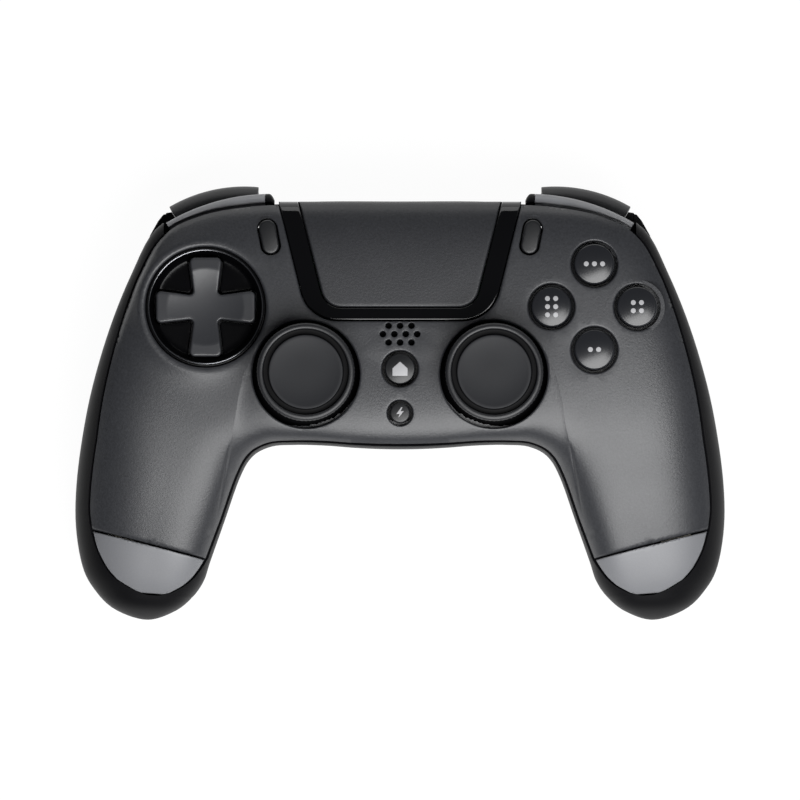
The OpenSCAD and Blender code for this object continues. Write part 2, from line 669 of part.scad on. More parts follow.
module cross_outline(grow) {
    tip = cross_span / 2 + grow;
    a = cross_tip_w / 2 + grow;
    b = cross_root_w / 2 + grow;
    arm = [[b, b], [a, tip - 0.8], [a - 0.8, tip], [0.8 - a, tip], [-a, tip - 0.8], [-b, b]];
    for (k = [0 : 3]) rotate(90 * k) polygon(concat(arm, [[0, 0]]));
}
module dpad_dish() {
    r = dish_d / 2;
    post_r = 0.9;
    color("#0c0c0e") at([-pad_x, pad_y], 0) difference() {
        union() {
            rotate_extrude() polygon([[0, dish_floor], [r - 0.9, dish_floor], [r - 0.9, face_h - 5.5],
                [r, face_h - 5.5], [r, collar_top - 0.1], [r - 0.7, collar_top - 0.1],
                [r - 0.8, collar_top - 0.6], [r - 2.6, dish_floor + dish_floor_t + 0.4],
                [0, dish_floor + dish_floor_t]]);
            for (a = [60, 150, 240]) rotate(a) translate([r - post_r - 0.1, 0, key_top])
                cylinder(r = post_r, h = dish_floor + 0.5 - key_top);
        }
        translate([0, 0, dish_floor - 1]) linear_extrude(face_h) cross_outline(cross_play);
    }
}
module dpad() {
    dip_r = 9.4;
    dip = 1.1;
    ball_hole = 2.6;
    dip_ball = (dip_r * dip_r + dip * dip) / 2 / dip;
    foot_t = 1.2;
    color("#58595c") at([-pad_x, pad_y], 0) difference() {
        union() {
            translate([0, 0, cross_foot + foot_t - eps])
                linear_extrude(cross_top - cross_foot - foot_t + eps) cross_outline(0);
            translate([0, 0, cross_foot]) cylinder(r = cross_flange_r, h = foot_t);
        }
        translate([0, 0, cross_top - dip + dip_ball]) sphere(dip_ball, $fn = 128);
        translate([0, 0, ball_z]) sphere(ball_r + pin_play);
        translate([0, 0, cross_foot - 1]) cylinder(r = ball_hole, h = ball_z - cross_foot + 1);
    }
}
module dpad_pivot_ball() { color("silver") translate([-pad_x, pad_y, ball_z]) sphere(ball_r); }
module contact_dome(h) { cylinder(r1 = 2.8, r2 = 2, h = h); }
module dpad_membrane() {
    color("#3a3d42") at([-pad_x, pad_y], key_top) {
        tube(key_plate_r - 2.4, 2.2, membrane_t);
        for (a = [0 : 90 : 270]) rotate(a) translate([contact_ring, 0, membrane_t - eps])
            contact_dome(cross_foot - key_top - membrane_t - dome_gap);
    }
}
// Moulded plate under a key group, with a tab for the oval button and one for the bumper
module key_plate(s, r) {
    tab = [pad_x - oval_x, pad_y - oval_y];
    tab_w = 6;
    difference() {
        union() {
            at([s * pad_x, pad_y], key_top - key_t) cylinder(r = r, h = key_t);
            translate([s * oval_x, oval_y, key_top - key_t]) rotate(s * atan2(tab[0], -tab[1]))
                translate([-tab_w / 2, -norm(tab) + r - 6, 0]) cube([tab_w, norm(tab) - r + 8.6, key_t]);
            box(s * bumper_switch_x - 2, s * bumper_switch_x + 2, pad_y + r - 2, bumper_switch_y,
                key_top - key_t, key_top);
        }
        at([s * stick_x, stick_y], 0) cylinder(r = tilt_sweep_r, h = face_h);
        at([s * SCREWS[1][0], SCREWS[1][1]], 0) cylinder(r = boss_r + clear, h = face_h);
    }
}
module dpad_key_plate() {
    post_r = 1.7;
    color("#24262a") difference() {
        union() {
            key_plate(-1, key_plate_r);
            at([-pad_x, pad_y], key_top - eps) cylinder(r = post_r, h = ball_z - 0.8 - key_top);
        }
        translate([-pad_x, pad_y, ball_z]) sphere(ball_r + pin_play);
    }
}

// Action buttons

module action_button(p) {
    r = button_d / 2;
    crown = 18;
    color("#3a3b3e") at(p, 0) intersection() {
        union() {
            translate([0, 0, button_foot]) cylinder(r = r, h = button_top - button_foot);
            translate([0, 0, button_foot]) cylinder(r = button_bore + flange_w, h = flange_t);
        }
        translate([0, 0, button_top - crown]) sphere(crown, $fn = 128);
    }
}
module button_top() { action_button(BUTTONS[0]); }
module button_right() { action_button(BUTTONS[1]); }
module button_bottom() { action_button(BUTTONS[2]); }
module button_left() { action_button(BUTTONS[3]); }
button_plate_r = 15.6;
module button_membrane() {
    color("#3a3d42") {
        at([pad_x, pad_y], key_top) difference() {
            tube(button_plate_r - 1.2, 2.7, membrane_t);
            translate([stick_x - pad_x, stick_y - pad_y, -1]) cylinder(r = tilt_sweep_r, h = 4);
        }
        for (b = BUTTONS) at(b, key_top + membrane_t - eps)
            contact_dome(button_foot - key_top - membrane_t - dome_gap);
    }
}
module button_key_plate() {
    color("#24262a") difference() {
        key_plate(1, button_plate_r);
        at([pad_x, pad_y], 0) cylinder(r = 1.2, h = face_h);
    }
}

// Small buttons

small_top = face_h + 0.3;
module oval_button(s) {
    color("#2e2f32") oval_at(s, button_foot) {
        linear_extrude(surface_z(oval_x, oval_y, true) + 0.5 - button_foot) stadium(oval_w, oval_l);
        linear_extrude(flange_t)
            square([oval_w + 2 * small_gap + 2 * flange_w, oval_l - oval_w], center = true);
    }
}
module share_button() { oval_button(-1); }
module options_button() { oval_button(1); }
centre_switch_top = centre_board_top + 3.4;
module round_key(y, d, bore) {
    foot = centre_switch_top + small_travel + dome_gap;
    at([0, y], 0) {
        translate([0, 0, button_foot]) cylinder(d = d, h = small_top - button_foot);
        translate([0, 0, button_foot]) cylinder(r = bore + 0.6, h = flange_t);
        translate([0, 0, foot]) cylinder(r = 1.5, h = small_top - foot - 1);
    }
}
module home_button() { color("#1b1b1f") round_key(home_y, home_d, home_bore); }
module turbo_button() { color("#1b1b1f") round_key(turbo_y, turbo_d, turbo_bore); }
module centre_key_board() {
    color("#1f4a2e") box(-7.2, 7.2, turbo_y - 3.2, home_y + 4.6, centre_board_z, centre_board_top);
}
module switch_up(p, z, top) {
    at(p, z) {
        translate([-2.4, -2.4, 0]) cube([4.8, 4.8, top - z - 0.8]);
        cylinder(r = 1.4, h = top - z);
    }
}
bumper_switch_x = pad_x + 1.5;
bumper_face_y = bumper_c[1] + sqrt(pow(bumper_r + bumper_out - bumper_skin, 2)
    - pow(bumper_switch_x - bumper_c[0], 2));
bumper_switch_y = bumper_face_y - 2.6;
module tact_switches() {
    color("#b9bbbf") {
        for (y = [home_y, turbo_y]) switch_up([0, y], centre_board_top, centre_switch_top);
        for (s = [-1, 1]) oval_at(s, key_top) {
            h = button_foot - key_top - small_travel - dome_gap;
            translate([-1.7, -2.4, 0]) cube([3.4, 4.8, h - 0.8]);
            cylinder(r = 1.2, h = h);
        }
        for (s = [-1, 1]) scale([s, 1, 1]) translate([bumper_switch_x, 0, key_top - key_t - 1.1]) {
            box(-2, 2, bumper_switch_y - 3.5, bumper_switch_y, -1.1, 1.1);
            translate([0, bumper_switch_y + 0.6, 0]) rod_y(0.8, 1.2);
        }
    }
}

// Stick modules

module stick_at(s) { translate([s * stick_x, stick_y, 0]) children(); }
module square_box(w, z0, z1) { translate([-w / 2, -w / 2, z0]) cube([w, w, z1 - z0]); }
base_rim = pivot_z + 2.5;
carrier_z = board_top + stick_floor + carrier_lift;
module stick_base(s) {
    corner_r = 11.4;
    color("#c9cacc") stick_at(s) difference() {
        intersection() {
            square_box(stick_base_w, board_top, base_rim);
            cylinder(r = corner_r, h = 2 * face_h);
        }
        square_box(carrier_w + 0.4, board_top + stick_floor, face_h);
    }
}
module stick_carrier(s) {
    inner = carrier_w - 2 * carrier_wall;
    color("#2a2b2e") stick_at(s) difference() {
        square_box(carrier_w, carrier_z, base_rim - 0.6);
        square_box(inner, carrier_z + 1.2, face_h);
        translate([0, 0, pivot_z]) rod_x(stick_pin_r + pin_play, 2 * carrier_w);
    }
}
module stick_yoke(s) {
    ring_h = 2.8;
    pin_end = carrier_w / 2 - 0.1;
    color("#d8d4c8") stick_at(s) translate([0, 0, pivot_z]) difference() {
        union() {
            translate([0, 0, -ring_h / 2]) cylinder(r = ring_r, h = ring_h);
            rod_x(stick_pin_r, 2 * pin_end);
        }
        translate([0, 0, -ring_h]) cylinder(r = ring_r - ring_wall, h = 2 * ring_h);
        rod_y(cross_pin_r + pin_play, 3 * ring_r);
    }
}
module stick_lever(s) {
    tail = 3;
    color("#b0b2b5") stick_at(s) {
        translate([0, 0, pivot_z - tail]) cylinder(r = lever_r, h = cap_bottom - pivot_z + tail - 0.5);
        translate([0, 0, pivot_z]) rod_y(cross_pin_r, 2 * ring_r - 0.4);
    }
}
module stick_cap(s) {
    r = stick_cap_d / 2;
    groove_r = r - 1.45;
    disc_r = r - 2.95;
    neck_z = pivot_z + 6;
    color("#2d2e32") stick_at(s) difference() {
        union() {
            translate([0, 0, pivot_z]) rotate_extrude() intersection() {
                difference() {
                    circle(dome_r);
                    circle(dome_r - dome_t);
                }
                polygon([[0, 0], [0, 2 * dome_r], [2 * dome_r, 2 * dome_r],
                    [2 * dome_r, 2 * dome_r / tan(dome_edge)]]);
            }
            translate([0, 0, neck_z]) cylinder(r = neck_r, h = cap_bottom - neck_z + 0.5);
            rotate_extrude() polygon([[0, cap_bottom], [r - 0.8, cap_bottom], [r, cap_bottom + 0.7],
                [r, cap_top - 0.7], [r - 0.6, cap_top], [groove_r, cap_top - 0.1],
                [groove_r - 0.2, cap_top - 0.9], [disc_r + 0.2, cap_top - 0.9], [disc_r, cap_top - 0.4],
                [disc_r - 4, cap_top - 0.9], [disc_r - 7, cap_top - 1.1], [0, cap_top - 1.15]]);
        }
        translate([0, 0, pivot_z]) cylinder(r = lever_r + 0.02, h = cap_bottom - pivot_z - 0.45);
    }
}
module left_stick_base() { stick_base(-1); }
module left_stick_carrier() { stick_carrier(-1); }
module left_stick_yoke() { stick_yoke(-1); }
module left_stick_lever() { stick_lever(-1); }
module left_stick_cap() { stick_cap(-1); }
module right_stick_base() { stick_base(1); }
module right_stick_carrier() { stick_carrier(1); }
module right_stick_yoke() { stick_yoke(1); }
module right_stick_lever() { stick_lever(1); }
module right_stick_cap() { stick_cap(1); }

// Bumpers and triggers, drawn on the right

module bumper() {
    r0 = bumper_r - bumper_tuck;
    r1 = bumper_r + bumper_out;
    round_r = 2.6;
    arc = [for (a = [90 : -15 : 0])
        [r1 - round_r + round_r * cos(a), bumper_top - round_r + round_r * sin(a)]];
    inner = [for (a = [0 : 15 : 90]) let (q = round_r - bumper_skin)
        [r1 - round_r + q * cos(a), bumper_top - round_r + q * sin(a)]];
    difference() {
        union() {
            translate([bumper_c[0], bumper_c[1], 0]) rotate(180 - bumper_a1)
                rotate_extrude(angle = bumper_a1 - bumper_a0, $fn = 128)
                    polygon(concat([[r0, bumper_top]], arc, [[r1, bumper_z], [r1 - bumper_skin, bumper_z]],
                        inner, [[r0, bumper_top - bumper_skin]]));
            at(bumper_pivot, bumper_z + 0.6) cylinder(r = bumper_hub_r, h = bumper_h - 1.6);
            box(bumper_pivot[0] + 0.6, bumper_pivot[0] + 2.2, bumper_pivot[1],
                bumper_c[1] + bumper_r + bumper_out - 1, bumper_z + 0.6, bumper_z + bumper_h - 2);
        }
        at(bumper_pivot, 0) cylinder(r = bumper_pin_r + pin_play, h = face_h);
        at(bumper_pivot, bumper_boss_z - clear) cylinder(r = bumper_boss_r + clear, h = face_h);
    }
}
module left_bumper() { color("#77797b") right_side() bumper(); }
module right_bumper() { color("#77797b") bumper(); }
module bumper_pins() {
    color("silver") pair(bumper_pivot, bumper_z) cylinder(r = bumper_pin_r, h = bumper_h + 1.4);
}

// Outer face of a trigger: full at the top, drawn in for the finger, out again at the lip
TRIGGER_FACE = [[-1.2, 0], [-0.4, 0.5], [0, 2], [-0.3, 8], [-1.1, 13], [-1.3, 16], [-0.9, 18], [-0.5, 19]];
module trigger() {
    face = [for (p = TRIGGER_FACE) [trigger_r + p[0], trigger_top - p[1] * trigger_h / 19]];
    back = [for (i = [len(face) - 1 : -1 : 0]) [face[i][0] - trigger_t, face[i][1]]];
    hood_r = trigger_r - 5;
    hood_t = 1.6;
    cheek_h = 13;
    cheek_a = 2.6;
    inside_r = trigger_r - trigger_t + 0.4;
    hood = [[hood_r, trigger_top], [inside_r, trigger_top], [inside_r, trigger_top - hood_t],
        [hood_r, trigger_top - hood_t]];
    cheek = [[hood_r, trigger_top], [inside_r, trigger_top], [inside_r - 1, trigger_top - cheek_h],
        [hood_r + 1.2, trigger_top - cheek_h], [hood_r, trigger_top - cheek_h / 2]];
    arm_w = 2;
    mid_r = trigger_r - trigger_t / 2 - 0.2;
    difference() {
        union() {
            translate([trigger_c[0], trigger_c[1], 0]) rotate(180 - trigger_a1)
                rotate_extrude(angle = trigger_a1 - trigger_a0, $fn = 128)
                    polygon(concat(face, back));
            translate([trigger_c[0], trigger_c[1], 0]) rotate(180 - trigger_a1)
                rotate_extrude(angle = trigger_a1 - trigger_a0, $fn = 128) polygon(hood);
            for (a = [180 - trigger_a1, 180 - trigger_a0 - cheek_a])
                translate([trigger_c[0], trigger_c[1], 0]) rotate(a)
                    rotate_extrude(angle = cheek_a, $fn = 128) polygon(cheek);
            translate([trigger_x, trigger_hub[0], trigger_hub[1]]) rod_x(trigger_hub_r, trigger_hub_w);
            for (e = [-1, 1]) let (x = trigger_x + e * (trigger_hub_w - arm_w) / 2)
                box(x - arm_w / 2, x + arm_w / 2, trigger_hub[0],
                    trigger_c[1] + sqrt(mid_r * mid_r - pow(x - trigger_c[0], 2)),
                    trigger_hub[1] - 2.4, trigger_hub[1] + 2.2);
        }
        translate([trigger_x, trigger_hub[0], trigger_hub[1]]) rod_x(trigger_pin_d / 2 + pin_play, case_w);
        spring_room();
    }
}
spring_w = 5;
spring_x = trigger_x;
module spring_room() {
    translate([spring_x, trigger_hub[0], trigger_hub[1]]) rod_x(trigger_hub_r + 0.1, spring_w + 0.8);
}
module left_trigger() { color("#2b2b2e") right_side() trigger(); }
module right_trigger() { color("#2b2b2e") trigger(); }
module trigger_bracket() {
    x0 = trigger_x - trigger_hub_w / 2 - clear - ear_t;
    x1 = trigger_x + trigger_hub_w / 2 + clear + ear_t;
    y0 = trigger_hub[0] - 8;
    y1 = trigger_hub[0] + 2.5;
    difference() {
        union() {
            for (x = [x0, x1 - ear_t])
                box(x, x + ear_t, y0, y1, bracket_z, trigger_hub[1] + 2.5);
            box(x0, x1, y0, y0 + 4.5, bracket_z, bracket_z + 1.5);
        }
        translate([trigger_x, trigger_hub[0], trigger_hub[1]]) rod_x(trigger_pin_d / 2, case_w);
    }
}
module left_trigger_bracket() { color("#2f3134") right_side() trigger_bracket(); }
module right_trigger_bracket() { color("#2f3134") trigger_bracket(); }
module trigger_pins() {
    l = trigger_hub_w + 2 * clear + 2 * ear_t;
    color("silver") for (s = [-1, 1])
        translate([s * trigger_x, trigger_hub[0], trigger_hub[1]]) rod_x(trigger_pin_d / 2, l);
}
// Torsion spring round the trigger pin, as a sleeve of its coils with two legs
module trigger_spring() {
    wire = 0.7;
    bore = trigger_pin_d / 2 + 0.15;
    leg_l = 7.6;
    translate([spring_x, trigger_hub[0], trigger_hub[1]]) difference() {
        union() {
            rod_x(bore + wire, spring_w);
            translate([-spring_w / 2, -leg_l, -bore - wire]) cube([wire, leg_l, wire]);
            translate([spring_w / 2 - wire, 0, -bore - wire]) cube([wire, leg_l, wire]);
        }
        rod_x(bore, 2 * spring_w);
    }
}
module left_trigger_spring() { color("#d0d0d4") right_side() trigger_spring(); }
module right_trigger_spring() { color("#d0d0d4") trigger_spring(); }

// Boards, battery and sockets

module main_board() {
    w = stick_x + stick_base_w / 2 + 1.3;
    color("#1f4a2e") difference() {
        union() {
            box(-w, w, front_y + 6, front_y + 36, board_z, board_top);
            box(-24, 24, front_y + 36, back_y - 8, board_z, board_top);
            box(-usb_w / 2 - 1.4, usb_w / 2 + 1.4, back_y - 8, back_y - 3.2, board_z, board_top);
        }
        for (p = BOARD_POSTS) pair(p, 0) cylinder(r = 1.1, h = face_h);
    }
}
module inner_frame() {
    color("#33363a") difference() {
        union() {
            box(-TRAY_POSTS[0][0] - 3, TRAY_POSTS[0][0] + 3, TRAY_POSTS[0][1] - 3, TRAY_POSTS[1][1] + 3,
                tray_z, tray_top);
            for (p = BOARD_POSTS) pair(p, tray_top - eps) cylinder(r = 2.2, h = post_h + eps);
        }
        for (p = BOARD_POSTS) pair(p, tray_top + 0.5) cylinder(r = 0.9, h = face_h);
    }
}
battery_y0 = TRAY_POSTS[0][1] + 1;
battery_y1 = TRAY_POSTS[1][1] - 1;
module battery() {
    top = tray_z - battery_gap;
    color("#3b4a6b") intersection() {
        box(-battery_w / 2, battery_w / 2, battery_y0, battery_y1, top - battery_t, top);
        translate([0, 0, top - battery_t / 2]) rotate([90, 0, 0]) translate([0, 0, -battery_y1])
            linear_extrude(battery_y1 - battery_y0) rotate(90) stadium(battery_t, battery_w);
    }
}
module speaker() {
    h = 4.6;
    color("#9a9c9f") translate([0, speaker_y, face_h - wall - seam - h]) linear_extrude(h)
        rotate(90) stadium(speaker_l, speaker_w);
}
module usb_port() {
    depth = 7.2;
    y1 = back_y - 0.9;
    color("#c4c6c9") translate([0, y1, board_top + usb_h / 2]) rotate([90, 0, 0]) difference() {
        linear_extrude(depth) rotate(90) stadium(usb_h, usb_w);
        translate([0, 0, -1]) linear_extrude(depth) rotate(90) stadium(usb_h - 0.7, usb_w - 0.7);
    }
}
module headphone_jack() {
    nose_y = front_y + 1;
    body_y = front_y + 3.6;
    color("#1a1a1c") difference() {
        union() {
            box(-3.2, 3.2, body_y, nose_y + jack_l + 1.4, board_top, board_top + 6);
            translate([0, (nose_y + body_y) / 2, jack_z]) rod_y(jack_nose_r - 0.2, body_y - nose_y + eps);
        }
        translate([0, nose_y + jack_l / 2 - eps, jack_z]) rod_y(jack_bore / 2, jack_l + 2 * eps);
    }
}

// Rumble motors

shaft_r = 1;
module rumble_motor() {
    l = motor_l;
    color("#bfc1c4") translate([motor_c[0] + l / 2, motor_c[1], motor_c[2]]) difference() {
        rod_x(motor_d / 2, l);
        translate([l / 2, 0, 0]) rod_x(shaft_r + pin_play, l);
    }
}
module rumble_weight() {
    x0 = motor_c[0] + motor_l + 0.5;
    color("#8d8a80") translate([x0, motor_c[1], motor_c[2]]) {
        intersection() {
            translate([weight_l / 2, 0, 0]) rod_x(weight_r, weight_l);
            box(-1, weight_l + 1, -weight_r, weight_r, -weight_r, shaft_r);
        }
        translate([weight_l / 2 - 2.5, 0, 0]) rod_x(shaft_r, weight_l + 5);
    }
}
module left_rumble_motor() { right_side() rumble_motor(); }
module right_rumble_motor() { rumble_motor(); }
module left_rumble_weight() { right_side() rumble_weight(); }
module right_rumble_weight() { rumble_weight(); }

// Screws

module case_screws() {
    color("#55575a") for (p = SCREWS) pair(p, screw_seat_z) {
        difference() {
            translate([0, 0, -screw_head_h]) cylinder(r = screw_head_r, h = screw_head_h);
            translate([0, 0, -screw_head_h - eps]) cylinder(r = 1.2, h = 1.2, $fn = 6);
        }
        cylinder(r = screw_d / 2 - pin_play, h = screw_l);
    }
}
module board_screws() {
    head = 1.2;
    grip = board_t + post_h - 1;
    color("#55575a") {
        for (p = BOARD_POSTS) pair(p, board_top) {
            cylinder(r = 1.8, h = head);
            translate([0, 0, -grip]) cylinder(r = 0.85, h = grip + eps);
        }
        at([pad_x, pad_y], key_top - key_t - head) {
            cylinder(r = 2, h = head);
            cylinder(r = 0.95, h = head + key_t + 4);
        }
    }
}

front_shell();
rear_shell();
left_grip_cap();
right_grip_cap();
touchpad_frame();
touchpad();
touchpad_board();
dpad_dish();
dpad();
dpad_pivot_ball();
dpad_membrane();
dpad_key_plate();
button_top();
button_right();
button_bottom();
button_left();
button_membrane();
button_key_plate();
share_button();
options_button();
home_button();
turbo_button();
centre_key_board();
tact_switches();
left_stick_base();
left_stick_carrier();
left_stick_yoke();
left_stick_lever();
left_stick_cap();
right_stick_base();
right_stick_carrier();
right_stick_yoke();
right_stick_lever();
right_stick_cap();
left_bumper();
right_bumper();
left_trigger();
right_trigger();
left_trigger_bracket();
right_trigger_bracket();
left_trigger_spring();
right_trigger_spring();
trigger_pins();
bumper_pins();
main_board();
inner_frame();
battery();
speaker();
usb_port();
headphone_jack();
left_rumble_motor();
right_rumble_motor();
left_rumble_weight();
right_rumble_weight();
case_screws();
board_screws();
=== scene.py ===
import json
import math

import bpy
import numpy as np
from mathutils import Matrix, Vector
from mathutils.geometry import delaunay_2d_cdt


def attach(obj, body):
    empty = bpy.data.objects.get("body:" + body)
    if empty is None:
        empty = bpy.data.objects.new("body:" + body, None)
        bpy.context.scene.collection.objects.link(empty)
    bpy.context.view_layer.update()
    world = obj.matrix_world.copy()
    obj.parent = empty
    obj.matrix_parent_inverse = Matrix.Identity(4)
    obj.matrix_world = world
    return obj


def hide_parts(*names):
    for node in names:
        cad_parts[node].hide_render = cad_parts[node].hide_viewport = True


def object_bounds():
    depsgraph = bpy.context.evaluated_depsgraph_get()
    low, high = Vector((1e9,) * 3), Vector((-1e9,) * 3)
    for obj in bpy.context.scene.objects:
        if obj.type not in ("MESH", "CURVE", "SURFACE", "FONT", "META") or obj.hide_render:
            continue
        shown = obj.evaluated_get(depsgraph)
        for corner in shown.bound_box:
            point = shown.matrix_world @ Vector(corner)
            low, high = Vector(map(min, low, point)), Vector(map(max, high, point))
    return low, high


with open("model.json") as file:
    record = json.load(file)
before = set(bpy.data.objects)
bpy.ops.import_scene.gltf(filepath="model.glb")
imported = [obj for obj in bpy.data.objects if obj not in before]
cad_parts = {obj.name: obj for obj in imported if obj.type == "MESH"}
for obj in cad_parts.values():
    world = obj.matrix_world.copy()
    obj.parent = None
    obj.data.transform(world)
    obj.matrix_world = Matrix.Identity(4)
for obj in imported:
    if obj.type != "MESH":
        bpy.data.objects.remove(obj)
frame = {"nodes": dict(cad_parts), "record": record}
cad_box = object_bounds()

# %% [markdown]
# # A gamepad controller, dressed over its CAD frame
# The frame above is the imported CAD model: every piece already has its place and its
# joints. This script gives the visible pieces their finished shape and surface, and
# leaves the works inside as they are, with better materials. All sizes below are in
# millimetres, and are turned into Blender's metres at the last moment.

mm = 0.001
nodes = frame["nodes"]
print("frame", len(nodes), "nodes", [round(v, 4) for v in cad_box[1]])

# %% [markdown]
# ## Camera
# The photograph looks almost straight down on the face: the stick caps, which stand
# about ten millimetres over their pivots, are moved a hair towards the back edge, which
# gives a tilt of three degrees. An orthographic camera would show no depth at all, so a
# very long lens is used instead: it keeps the grips as wide as the body.

# %% Camera
VIEW_TILT = math.radians(87)
VIEW_FIELD = 196.3
LENS, SENSOR = 600, 36
TARGET = Vector((0, 0, 0.031))


def place_camera():
    far = VIEW_FIELD * mm * LENS / SENSOR
    data = bpy.data.cameras.new("photo_camera")
    data.lens = LENS
    data.sensor_width = SENSOR
    data.clip_end = 10
    camera = bpy.data.objects.new("photo_camera", data)
    bpy.context.scene.collection.objects.link(camera)
    back = Vector((0, -math.cos(VIEW_TILT), math.sin(VIEW_TILT)))
    camera.location = TARGET + back * far
    camera.rotation_euler = (math.pi / 2 - VIEW_TILT, 0, 0)
    bpy.context.scene.camera = camera
    print("camera", [round(v, 3) for v in camera.location])


place_camera()

# %% [markdown]
# ## Light and floor
# In the photograph the grips and the front of the face are bright, and the back edge and
# the flanks go almost black. A sun or a bright sky would light them all alike. A soft box
# that hangs close over the grips, on the player's side, falls off quickly and gives that
# run from bright to dark. A low, dim panel behind the controller draws the bumpers out of
# the dark and shows in the polished frame. The world is a dim, even grey. The floor is
# white to the camera and in reflections, and keeps a soft shadow.

# %% Soft boxes
def soft_box(name, place, aim, size, power):
    data = bpy.data.lights.new(name, "AREA")
    data.shape = "RECTANGLE"
    data.size, data.size_y = size
    data.energy = power
    lamp = bpy.data.objects.new(name, data)
    bpy.context.scene.collection.objects.link(lamp)
    lamp.location = place
    direction = Vector(aim) - Vector(place)
    lamp.rotation_euler = direction.to_track_quat("-Z", "Y").to_euler()
    print("light", name, power)


soft_box("player_side", place=(0.06, -0.16, 0.34), aim=(0, -0.01, 0.03), size=(0.34, 0.26), power=2.3)
soft_box("back_panel", place=(0, 0.40, 0.10), aim=(0, 0.04, 0.03), size=(0.50, 0.14), power=0.4)

# %% World and floor
SKY_TINT, SKY_STRENGTH = (0.9, 0.93, 1, 1), 0.08
PAPER, SHADOW_PAPER, WHITE_GLOW = (0.88, 0.88, 0.88, 1), (0.08, 0.08, 0.08, 1), 0.96


def light_world():
    world = bpy.data.worlds.new("studio")
    world.use_nodes = True
    bpy.context.scene.world = world
    sky = world.node_tree.nodes["Background"]
    sky.inputs["Color"].default_value = SKY_TINT
    sky.inputs["Strength"].default_value = SKY_STRENGTH


def lay_floor():
    bpy.ops.object.select_all(action="DESELECT")
    bpy.ops.mesh.primitive_plane_add(size=30, location=(0, 0, -0.0002))
    floor = bpy.context.object
    floor.name = "floor"
    material = bpy.data.materials.new("pale_floor")
    material.use_nodes = True
    tree = material.node_tree
    tree.nodes.clear()
    paper = tree.nodes.new("ShaderNodeBsdfDiffuse")
    paper.inputs["Color"].default_value = PAPER
    glow = tree.nodes.new("ShaderNodeEmission")
    glow.inputs["Strength"].default_value = WHITE_GLOW
    shade = tree.nodes.new("ShaderNodeBsdfDiffuse")
    shade.inputs["Color"].default_value = SHADOW_PAPER
    white = tree.nodes.new("ShaderNodeAddShader")
    tree.links.new(glow.outputs[0], white.inputs[0])
    tree.links.new(shade.outputs[0], white.inputs[1])
    path = tree.nodes.new("ShaderNodeLightPath")
    seen = path.outputs["Is Camera Ray"]
    for ray in ("Is Glossy Ray", "Is Transmission Ray"):
        either = tree.nodes.new("ShaderNodeMath")
        either.operation = "MAXIMUM"
        tree.links.new(seen, either.inputs[0])
        tree.links.new(path.outputs[ray], either.inputs[1])
        seen = either.outputs[0]
    mix = tree.nodes.new("ShaderNodeMixShader")
    tree.links.new(seen, mix.inputs["Fac"])
    tree.links.new(paper.outputs[0], mix.inputs[1])
    tree.links.new(white.outputs[0], mix.inputs[2])
    out = tree.nodes.new("ShaderNodeOutputMaterial")
    tree.links.new(mix.outputs[0], out.inputs["Surface"])
    floor.data.materials.append(material)
    print("floor", floor.name, "with", len(tree.nodes), "shader nodes")


light_world()
lay_floor()
bpy.context.scene.view_settings.view_transform = "Standard"

# %% [markdown]
# ## Shared surface effects
# Moulded plastic is never one flat colour. Its mould leaves a fine grain, and handling
# leaves broad, faint smears that change the gloss. Both could be drawn again in each
# material, but as node groups they are built once and placed in every plastic with its
# own values.

# %% Shader groups
def socket(group, name, way, kind="NodeSocketFloat", value=None):
    made = group.interface.new_socket(name=name, in_out=way, socket_type=kind)
    if value is not None:
        made.default_value = value


def grain_group():
    """Fine mould grain: a height for bump and a tone that varies round zero."""
    group = bpy.data.node_groups.new("mould_grain", "ShaderNodeTree")
    socket(group, "Vector", "INPUT", "NodeSocketVector")
    socket(group, "Scale", "INPUT", value=3000)
    socket(group, "Height", "OUTPUT")
    socket(group, "Tone", "OUTPUT")
    n, link = group.nodes, group.links
    start, end = n.new("NodeGroupInput"), n.new("NodeGroupOutput")
    grit = n.new("ShaderNodeTexNoise")
    grit.inputs["Detail"].default_value = 3
    grit.inputs["Roughness"].default_value = 0.65
    link.new(start.outputs["Vector"], grit.inputs["Vector"])
    link.new(start.outputs["Scale"], grit.inputs["Scale"])
    centre = n.new("ShaderNodeMath")
    centre.operation = "SUBTRACT"
    centre.inputs[1].default_value = 0.5
    link.new(grit.outputs["Fac"], centre.inputs[0])
    link.new(grit.outputs["Fac"], end.inputs["Height"])
    link.new(centre.outputs[0], end.inputs["Tone"])
    return group


def smear_group():
    """Broad handling smears, from zero to one."""
    group = bpy.data.node_groups.new("handling_smears", "ShaderNodeTree")
    socket(group, "Vector", "INPUT", "NodeSocketVector")
    socket(group, "Scale", "INPUT", value=40)
    socket(group, "Mask", "OUTPUT")
    n, link = group.nodes, group.links
    start, end = n.new("NodeGroupInput"), n.new("NodeGroupOutput")
    cloud = n.new("ShaderNodeTexNoise")
    cloud.inputs["Detail"].default_value = 4
    cloud.inputs["Distortion"].default_value = 0.6
    link.new(start.outputs["Vector"], cloud.inputs["Vector"])
    link.new(start.outputs["Scale"], cloud.inputs["Scale"])
    spread = n.new("ShaderNodeMapRange")
    spread.inputs["From Min"].default_value = 0.3
    spread.inputs["From Max"].default_value = 0.7
    link.new(cloud.outputs["Fac"], spread.inputs["Value"])
    link.new(spread.outputs["Result"], end.inputs["Mask"])
    return group


GRAIN, SMEARS = grain_group(), smear_group()
print("groups", GRAIN.name, SMEARS.name)

# %% [markdown]
# ## Materials
# The controller is almost all black plastic, so what tells its pieces apart is gloss and
# grain more than colour. Each finish is one function call. The colour is written as it
# looks in plain light, the grain's scale is in grains per metre, and its depth is in
# millimetres. Noise on Object coordinates needs no unwrapping and stays with the piece.

# %% A finish
TINT_DARK, TINT_BRIGHT = 0.6, 1.4


